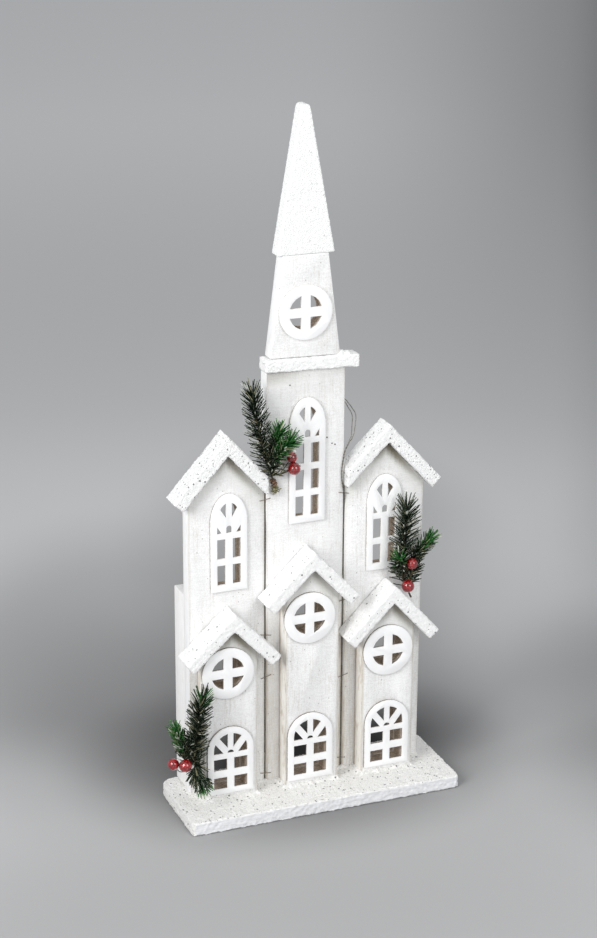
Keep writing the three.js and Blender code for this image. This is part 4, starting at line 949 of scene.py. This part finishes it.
# Needles stand out in a spiral. One that would run into a board is tried again at a smaller lean.
def addTwigNeedles(bm, twig, bareStem, chance):
    step = twig.get("spacing", needle["spacing"])
    line = smoothLine(twig["points"], step)
    length = step * len(line)
    turn = math.radians(needle["turn"])
    for index in range(1, len(line) - 1):
        gone = index * step
        if gone < bareStem:
            continue
        way = (line[index + 1] - line[index - 1]).normalized()
        side = Vector((0, -1, 0)) - way * way.dot(Vector((0, -1, 0)))
        side.normalize()
        side.rotate(Matrix.Rotation(index * turn + chance.uniform(-0.3, 0.3), 3, way))
        nearTip = (gone / length) ** 6
        spread = twig.get("spread", needle["spread"]) * (1 - nearTip) + needle["tipSpread"] * nearTip
        spread += chance.uniform(-needle["sway"], needle["sway"])
        reach = twig.get("length", needle["length"]) * chance.uniform(0.84, 1.0)
        finish = 2 if gone / length + chance.uniform(-0.12, 0.12) > twig["green"] else 1
        foot = line[index] + side * 0.6
        for lean in (spread, spread * 0.6):
            point = way * math.cos(math.radians(lean)) + side * math.sin(math.radians(lean))
            if clearOfBoards(foot + point * reach) and clearOfBoards(foot + point * reach * 0.6):
                straw = twig.get("straw", 0.5 if gone / length < needle["strawBelow"] else 1.0)
                addNeedle(bm, foot, point.normalized(), side, reach, finish, chance.random() ** straw)
                break


# Needles end in front of boards and roofs, and inside the frame's own box
def clearOfBoards(spot):
    left, right = place["towerRow"]
    if spot.y > place["towerFront"] - 0.6 and place["baseTop"] < spot.z < place["roofTops"]:
        if left < spot.x < right:
            return False
    for low, high in keepOut:
        if low.x - 0.4 < spot.x < high.x + 0.4 and low.y - 0.5 < spot.y < high.y + 0.5:
            if low.z - 0.4 < spot.z < high.z + 0.4:
                return False
    return frameLow.x + 0.6 < spot.x < frameHigh.x - 0.6 and spot.z > place["baseTop"] + 0.5


frameLow, frameHigh = (Vector(corner) / mm for corner in boxAtLoad)
keepOut = [nodeBox(name) for name in nodes if name.endswith(("_house_board", "_berries"))]
keepOut += windowBoxes


def buildSprig(name, sprig, seed):
    chance = random.Random(seed)
    bm = bmesh.new()
    bm.verts.layers.float.new("along")
    bm.verts.layers.float.new("luck")
    for twig in sprig["twigs"]:
        wireInto(bm, smoothLine(twig["points"], 2.5), 1.0)
    binding = sprig.get("binding")
    if binding:
        addBinding(bm, binding, chance)
    for index, twig in enumerate(sprig["twigs"]):
        addTwigNeedles(bm, twig, sprig["bareStem"] if index == 0 else 2.5, chance)
    finishList = [finishes[kind] for kind in ("bark", "darkNeedle", "greenNeedle", "binding", "curl")]
    return toPiece(bm, f"{name}_fir_sprig", finishList, [f"{name}_sprig"], crease=60)


# Tape wound round a stem's end in a few thick turns, and frayed curls of it below
def addBinding(bm, binding, chance):
    start, end = Vector(binding["from"]), Vector(binding["to"])
    way = (end - start).normalized()
    side = way.cross(Vector((0, 1, 0))).normalized()
    other = way.cross(side)
    count = len(bm.faces)
    knot = start.lerp(end, 0.55)
    wireInto(bm, [start.lerp(end, 0.3), knot, end], binding["radius"] * 0.3, 3)
    wireInto(bm, ringsAround(knot, end, side, other, binding["radius"] * 0.66, 2), binding["radius"] * 0.32)
    setFinish(bm, count, 3)
    count = len(bm.faces)
    for curl in range(binding["curls"]):
        angle = chance.uniform(0, math.tau)
        top = start.lerp(end, chance.uniform(0.25, 0.6)) + (side * math.cos(angle) + other * math.sin(angle)) * 1.8
        foot = top - way * chance.uniform(2.5, 7.0) + side * chance.uniform(-4.5, 4.5)
        wireInto(bm, ringsAround(top, foot, side, other, chance.uniform(0.9, 1.7), 2), 0.34)
    setFinish(bm, count, 4)


# A coil between two points
def ringsAround(first, last, side, other, reach, turns):
    steps = turns * 12
    return [
        first.lerp(last, step / steps) + side * math.cos(step / 12 * math.tau) * reach
        + other * math.sin(step / 12 * math.tau) * reach
        for step in range(steps + 1)
    ]


def addBerry(bm, at, radius):
    matrix = Matrix.Translation(Vector(at) * mm)
    made = bmesh.ops.create_uvsphere(bm, u_segments=32, v_segments=20, radius=radius * mm, matrix=matrix)
    for vert in made["verts"]:
        spot = (vert.co / mm - Vector(at)) / radius
        vert.co -= spot * (0.025 * radius * mm * (0.5 + noise.noise(spot * 1.7 + Vector(at))))


def buildBerries(name, sprig):
    bm = bmesh.new()
    for at, radius in sprig["berries"]:
        addBerry(bm, at, radius)
    count = len(bm.faces)
    first, second = sprig["berries"]
    line = smoothLine([first[0], *sprig["stalk"], second[0]], 1.5)
    inside = [spot for spot in line
              if all((spot - Vector(at)).length > radius * 0.85 for at, radius in sprig["berries"])]
    wireInto(bm, inside, 0.45)
    for at, radius in sprig["berries"]:
        nearest = min(inside, key=lambda spot: (spot - Vector(at)).length)
        outward = (Vector(at) - nearest).normalized()
        tip = Vector(at) + outward * radius * 0.94
        wireInto(bm, [tip, tip + outward * 0.12 * radius], 0.7)
    setFinish(bm, count, 1)
    return toPiece(bm, f"{name}_berry_pair", [finishes["berry"], finishes["berryWire"]],
                   [f"{name}_berries"], crease=60)


for seed, (name, sprig) in enumerate(sprigs.items()):
    buildSprig(name, sprig, seed + 11)
    buildBerries(name, sprig)


print("light string")

# Light string: two thin strands twisted together, from the case up behind the centre tower, down
# and up the left groove, over the top, out in a loop at the shoulder and down the right groove
lights = {"strand": 0.46, "apart": 0.40, "twist": 7.0, "step": 1.1, "dropRadius": 0.95, "dropLength": 4.2,
          "loopLow": 384, "loopHigh": 428, "loopApart": 1.7}
stringPoints = [
    (18.1, 29.3, 168), (18.1, 29.3, 176), (16.1, 26.6, 190), (14.1, 26, 215), (16, 26, 242), (-4, 26, 266),
    (-28, 26, 290), (-43, 26, 313), (-48.6, 24.5, 324), (-48.1, 14, 323), (-48.1, 10.1, 314), (-48.1, 10.1, 240),
    (-48.1, 10.1, 160), (-48.1, 10.1, 90), (-48.1, 10.1, 30), (-48.1, 10.7, 22), (-48.1, 13, 18.6),
    (-48.1, 15.3, 22), (-48.1, 15.9, 30), (-48.1, 15.9, 90), (-48.1, 15.9, 150), (-48.1, 18, 163),
    (-48.1, 25, 172), (-45, 28, 184), (-38, 29, 210), (-36, 29, 290), (-32, 28, 350), (-27, 26.6, 405),
    (-17, 26, 440), (2, 26, 452), (30, 26, 441), (39, 25.8, 432), (45.3, 25, 424), (49.6, 22, 416.9),
    (52.4, 18, 410), (50.6, 14, 399.9), (47.7, 11, 389.3), (42.6, 9, 381.9), (38.6, 7.6, 375.3),
    (36.8, 7.2, 367), (35.3, 7, 356.5), (35.4, 7, 346), (36.8, 7, 337), (38.6, 7.4, 329), (39, 8.8, 321),
    (39, 10.1, 312), (39, 10.1, 240), (39, 10.1, 160), (39, 10.1, 90), (39, 10.1, 22),
]
drops = [(place["leftGroove"], z) for z in (46, 112, 172, 232, 290)]
drops += [(place["rightGroove"], z) for z in (52, 118, 176, 236, 292)]


def buildString():
    line = smoothLine(stringPoints, lights["step"])
    bm = bmesh.new()
    strands = ([], [])
    side = Vector((1, 0, 0))
    for index, spot in enumerate(line):
        way = line[min(index + 1, len(line) - 1)] - line[max(index - 1, 0)]
        way.normalize()
        side = (side - way * side.dot(way)).normalized()
        other = way.cross(side)
        angle = index * lights["step"] / lights["twist"] * math.tau
        reach = (side * math.cos(angle) + other * math.sin(angle)) * lights["apart"]
        if spot.x > place["rightGroove"] and lights["loopLow"] < spot.z < lights["loopHigh"]:
            up = (spot.z - lights["loopLow"]) / (lights["loopHigh"] - lights["loopLow"])
            reach = reach.lerp(Vector((1, -0.3, 0.25)) * lights["loopApart"], math.sin(math.pi * up) ** 0.5)
        strands[0].append(spot + reach)
        strands[1].append(spot - reach)
    for strand in strands:
        wireInto(bm, strand, lights["strand"], 1)
    count = len(bm.faces)
    for x, z in drops:
        addDrop(bm, Vector((x, place["grooveWire"], z)))
    setFinish(bm, count, 1)
    return toPiece(bm, "twisted_light_string", [finishes["wire"], finishes["drop"]],
                   ["light_string"], crease=60)


def addDrop(bm, at):
    made = bmesh.ops.create_uvsphere(bm, u_segments=14, v_segments=10, radius=1.0)
    stretch = Matrix.Diagonal((lights["dropRadius"], lights["dropRadius"], lights["dropLength"] / 2, 1))
    turn = Matrix.Translation(at * mm) @ (stretch * mm).to_3x3().to_4x4()
    bmesh.ops.transform(bm, verts=made["verts"], matrix=turn)


buildString()


print("staples and nails")

# Staples over the wire in both grooves, a little out of line, and nail heads
staple = {"crown": 11.5, "wire": 0.42, "proud": 0.5}
staples = [
    (-48.4, 333.9, 8), (-47.4, 184.1, -10), (-47.2, 136.6, 16), (-47.6, 24.6, -6),
    (38.2, 330, -12), (38.4, 210.3, 9), (39.9, 123.9, 14), (38.2, 27.4, -8),
]
nails = [
    (-21.9, 452.2, "towerFront"), (18.9, 392.4, "towerFront"), (24.5, 385.3, "towerFront"),
    (27.8, 383.8, "towerFront"), (-110, 20.4, "houseFront"),
]


def buildStaples():
    bm = bmesh.new()
    front = place["towerFront"] - staple["proud"]
    for x, z, tilt in staples:
        half = staple["crown"] / 2
        lean = math.radians(tilt)
        across = Vector((math.cos(lean), 0, math.sin(lean)))
        middle = Vector((x, front, z))
        deep = Vector((0, 1, 0))
        legs = [middle - across * half + deep * 3.5, middle - across * half, middle + across * half,
                middle + across * half + deep * 3.5]
        rounded = [legs[0], legs[1] + deep * 0.5, legs[1] + across * 0.5, legs[2] - across * 0.5,
                   legs[2] + deep * 0.5, legs[3]]
        wireInto(bm, rounded, staple["wire"], 2)
    return toPiece(bm, "groove_staples", [finishes["staple"]], crease=40)


def buildNails():
    bm = bmesh.new()
    for x, z, wall in nails:
        matrix = Matrix.Translation(Vector((x, place[wall] - 0.05, z)) * mm) @ Matrix.Rotation(math.pi / 2, 4, "X")
        made = bmesh.ops.create_cone(bm, cap_ends=True, segments=12, radius1=0.75 * mm, radius2=0.85 * mm,
                                     depth=0.5 * mm, matrix=matrix)
        edges = {edge for vert in made["verts"] for edge in vert.link_edges}
        bevelEdges(bm, [edge for edge in edges if edge.calc_face_angle(0) > 1], 0.15)
    return toPiece(bm, "nail_heads", [finishes["brad"]], crease=40)


buildStaples()
buildNails()


print("fittings")

# Fittings at the back and below keep their nodes' shapes, with eased edges
fittings = {
    "battery_case": ("caseBlack", "black_plastic", "church", 0.35),
    "battery_cover": ("caseBlack", "black_plastic", "cover", 0.25),
    "switch_slider": ("switchGrey", "black_plastic", "switch", 0.2),
    "switch_body": ("switchGrey", "black_plastic", "church", 0.2),
    "contact_bridge": ("nickel", "nickel", "church", 0.1),
    "contact_plate_1": ("nickel", "nickel", "church", 0.1),
    "contact_plate_2": ("nickel", "nickel", "church", 0.1),
}


def dressFitting(nodeName, finishName, body, edge):
    bm = cleanCopy(nodeName)
    bevelEdges(bm, sharpEdges(bm), edge)
    return toPiece(bm, nodeName + "_part", [finishes[finishName]], [nodeName], body, 30)


for nodeName, (finishName, slotName, body, edge) in fittings.items():
    dressFitting(nodeName, finishName, body, edge)

cellLow, cellHigh = nodeBox("battery_cell_1")
otherLow, otherHigh = nodeBox("battery_cell_2")
cells = {
    "battery_cell_1": cellFinish("first cell wrap", cellLow.x, 1),
    "battery_cell_2": cellFinish("second cell wrap", otherHigh.x, -1),
}
for nodeName, finish in cells.items():
    bm = cleanCopy(nodeName)
    bevelEdges(bm, sharpEdges(bm, 40), 0.15)
    toPiece(bm, nodeName + "_wrapped", [finish], [nodeName], crease=30)


def keepNode(nodeName, finishName):
    node = nodes[nodeName]
    node.data.materials.clear()
    node.data.materials.append(finishes[finishName])


for nodeName in nodes:
    if nodeName.startswith("battery_spring"):
        keepNode(nodeName, "nickel")


# Screws from below: a turned countersunk head and a pointed shank
screw = {"head": 3.5, "headDepth": 2.5, "shank": 1.5, "point": 5}


def buildScrew(nodeName):
    low, high = nodeBox(nodeName)
    middle = Vector(((low.x + high.x) / 2, (low.y + high.y) / 2, low.z))
    length = high.z - low.z
    profile = [(0, 0), (screw["head"] - 0.2, 0), (screw["head"], 0.25), (screw["shank"], screw["headDepth"]),
               (screw["shank"], length - screw["point"]), (0, length)]
    bm = bmesh.new()
    verts = [bm.verts.new(((middle + Vector((r, 0, z))) * mm)) for r, z in profile]
    edges = [bm.edges.new(pair) for pair in zip(verts, verts[1:])]
    bmesh.ops.spin(bm, geom=verts + edges, cent=middle * mm, axis=(0, 0, 1), angle=math.tau, steps=24,
                   use_merge=True)
    bmesh.ops.remove_doubles(bm, verts=bm.verts, dist=0.01 * mm)
    bmesh.ops.recalc_face_normals(bm, faces=bm.faces)
    return toPiece(bm, nodeName + "_turned", [finishes["screw"]], [nodeName], crease=30)


for nodeName in [name for name in nodes if name.startswith("base_screw")]:
    buildScrew(nodeName)


print("stage")

# One wide plain floor that runs out of the picture, with light and shade painted on it: its tone changes softly with
# the distance along the camera's way, painted shadow is darkest in the church's own shade just behind it, and it dims
# towards the right.
stage = {
    "size": 60,
    "way": (0.375, 0.927),
    "start": 0.455,
    "behind": 0.32,
    "rings": [(120, 780, 0.63), (950, 1450, 0.585), (1500, 4200, 0.83)],
    "shades": [((10, 82), (270, 230), 0.55), ((30, 88), (170, 85), 0.74)],
    "wayShades": [((10, 330), (235, 380), 0.16), ((10, 760), (290, 480), 0.24), ((-240, 380), (300, 500), 0.23),
                  ((450, 180), (240, 420), 0.3)],
    "near": ((-330, -60), 0.11),
    "glow": ((290, 380), (190, 330), 0.45),
    "rightDim": 0.8,
    "edgeDim": 0.2,
    "plainBeyond": (6800, 15000),
    "plain": 0.93,
    "rightTone": 0.25,
    "glowTone": 0.62,
    "shadeTone": 0.01,
    "cameraOff": 2100,
}


def grey(level):
    return (level,) * 3


# 0 inside an oval and 1 outside it
def farOff(first, second, middle, half):
    reach = (((first - middle[0]) / half[0]) ** 2 + ((second - middle[1]) / half[1]) ** 2) ** 0.5
    return reach.finish.blur(reach, 0.42, 1.05)


def buildStage():
    bm = bmesh.new()
    bmesh.ops.create_grid(bm, x_segments=1, y_segments=1, size=stage["size"])
    mesh = bpy.data.meshes.new("floor")
    bm.to_mesh(mesh)
    bm.free()
    floor = bpy.data.objects.new("floor", mesh)
    collection.objects.link(floor)
    paper = Finish("floor paper", Roughness=0.95, Specular_IOR_Level=0.05)
    x, y = paper.axis("X"), paper.axis("Y")
    alongX, alongY = stage["way"]
    depth = x * alongX + y * alongY
    across = x * alongY - y * alongX
    lateral = across / (depth + stage["cameraOff"])
    reach = (x * x + y * y) ** 0.5
    ahead = paper.blur(depth, 0, 190)
    tone = paper.mix(ahead, grey(stage["start"]), grey(stage["behind"]))
    for near, far, level in stage["rings"]:
        tone = paper.mix(paper.blur(reach, near, far), tone, grey(level))
    plain = 1 - paper.blur(reach, *stage["plainBeyond"])
    # Painted dimming towards the right and at the right edge
    dim = paper.blur(lateral, -0.01, 0.19) * paper.blur(depth, 0, 4200) * stage["rightDim"]
    dim = dim + paper.blur(lateral, 0.115, 0.15) * ahead * stage["edgeDim"]
    dim = dim * (1 - paper.blur(across, 1300, 2600)) * plain
    tone = paper.mix(plain, grey(stage["plain"]), paper.mix(dim, tone, grey(stage["rightTone"])))
    # A painted pool of light behind the church, to its right
    middle, half, share = stage["glow"]
    tone = paper.mix((1 - farOff(across, depth, middle, half)) * share, tone, grey(stage["glowTone"]))
    shades = [(x, y, *shade) for shade in stage["shades"]]
    shades += [(across, depth, *shade) for shade in stage["wayShades"]]
    for first, second, middle, half, share in shades:
        tone = paper.mix((1 - farOff(first, second, middle, half)) * share, tone, grey(stage["shadeTone"]))
    # Painted shade in front of the church's foot, a little more on its left
    (front, back), share = stage["near"]
    nearShade = 1 - paper.blur(depth, front, back)
    nearShade = nearShade * (share + (1 - paper.blur(across, -300, 0)) * 0.07) * (1 - paper.blur(reach, 500, 1600))
    tone = paper.mix(nearShade, tone, grey(stage["shadeTone"]))
    grain = paper.clouds(paper.spot(), 0.4, 3)
    paper.color(paper.mix(grain * 0.02, tone, (0.3, 0.3, 0.31)))
    paper.relief(grain, 0.05, 0.2)
    mesh.materials.append(paper.material)


buildStage()

# Soft light: two wide boxes on either side of the camera, one overhead, and a pale surround
softboxes = {
    "left": {"azimuth": -61, "elevation": 26, "distance": 3.0, "size": (1.3, 1.6), "power": 62},
    "right": {"azimuth": 17, "elevation": 26, "distance": 3.0, "size": (1.3, 1.6), "power": 29},
    "top": {"azimuth": 0, "elevation": 80, "distance": 2.6, "size": (1.8, 1.8), "power": 8},
}
aim = Vector((0, 0, 0.36))


def addSoftbox(name, look):
    a, e = math.radians(look["azimuth"]), math.radians(look["elevation"])
    away = Vector((math.sin(a) * math.cos(e), -math.cos(a) * math.cos(e), math.sin(e)))
    data = bpy.data.lights.new(name + " softbox", "AREA")
    data.shape = "RECTANGLE"
    data.size, data.size_y = look["size"]
    data.energy = look["power"]
    box = bpy.data.objects.new(name + " softbox", data)
    box.location = aim + away * look["distance"]
    box.rotation_euler = (-away).to_track_quat("-Z", "Y").to_euler()
    collection.objects.link(box)


for name, look in softboxes.items():
    addSoftbox(name, look)

surround = bpy.data.worlds.new("pale surround")
surround.use_nodes = True
background = surround.node_tree.nodes["Background"]
background.inputs["Color"].default_value = (0.95, 0.97, 1.0, 1)
background.inputs["Strength"].default_value = 0.47
bpy.context.scene.world = surround
bpy.context.scene.view_settings.view_transform = "Standard"

# The photograph's camera
camera = {
    "at": (-0.7934, -1.9244, 1.0979),
    "yaw": 22.01,
    "pitch": -19.44,
    "roll": 0.38,
    "lens": 83.55,
}


def addCamera():
    data = bpy.data.cameras.new("camera")
    data.lens = camera["lens"]
    data.sensor_width = 36
    data.clip_end = 100
    holder = bpy.data.objects.new("camera", data)
    turn = (Matrix.Rotation(-math.radians(camera["yaw"]), 4, "Z")
            @ Matrix.Rotation(math.radians(90 + camera["pitch"]), 4, "X")
            @ Matrix.Rotation(math.radians(camera["roll"]), 4, "Z"))
    holder.matrix_world = Matrix.Translation(camera["at"]) @ turn
    collection.objects.link(holder)
    bpy.context.scene.camera = holder


addCamera()
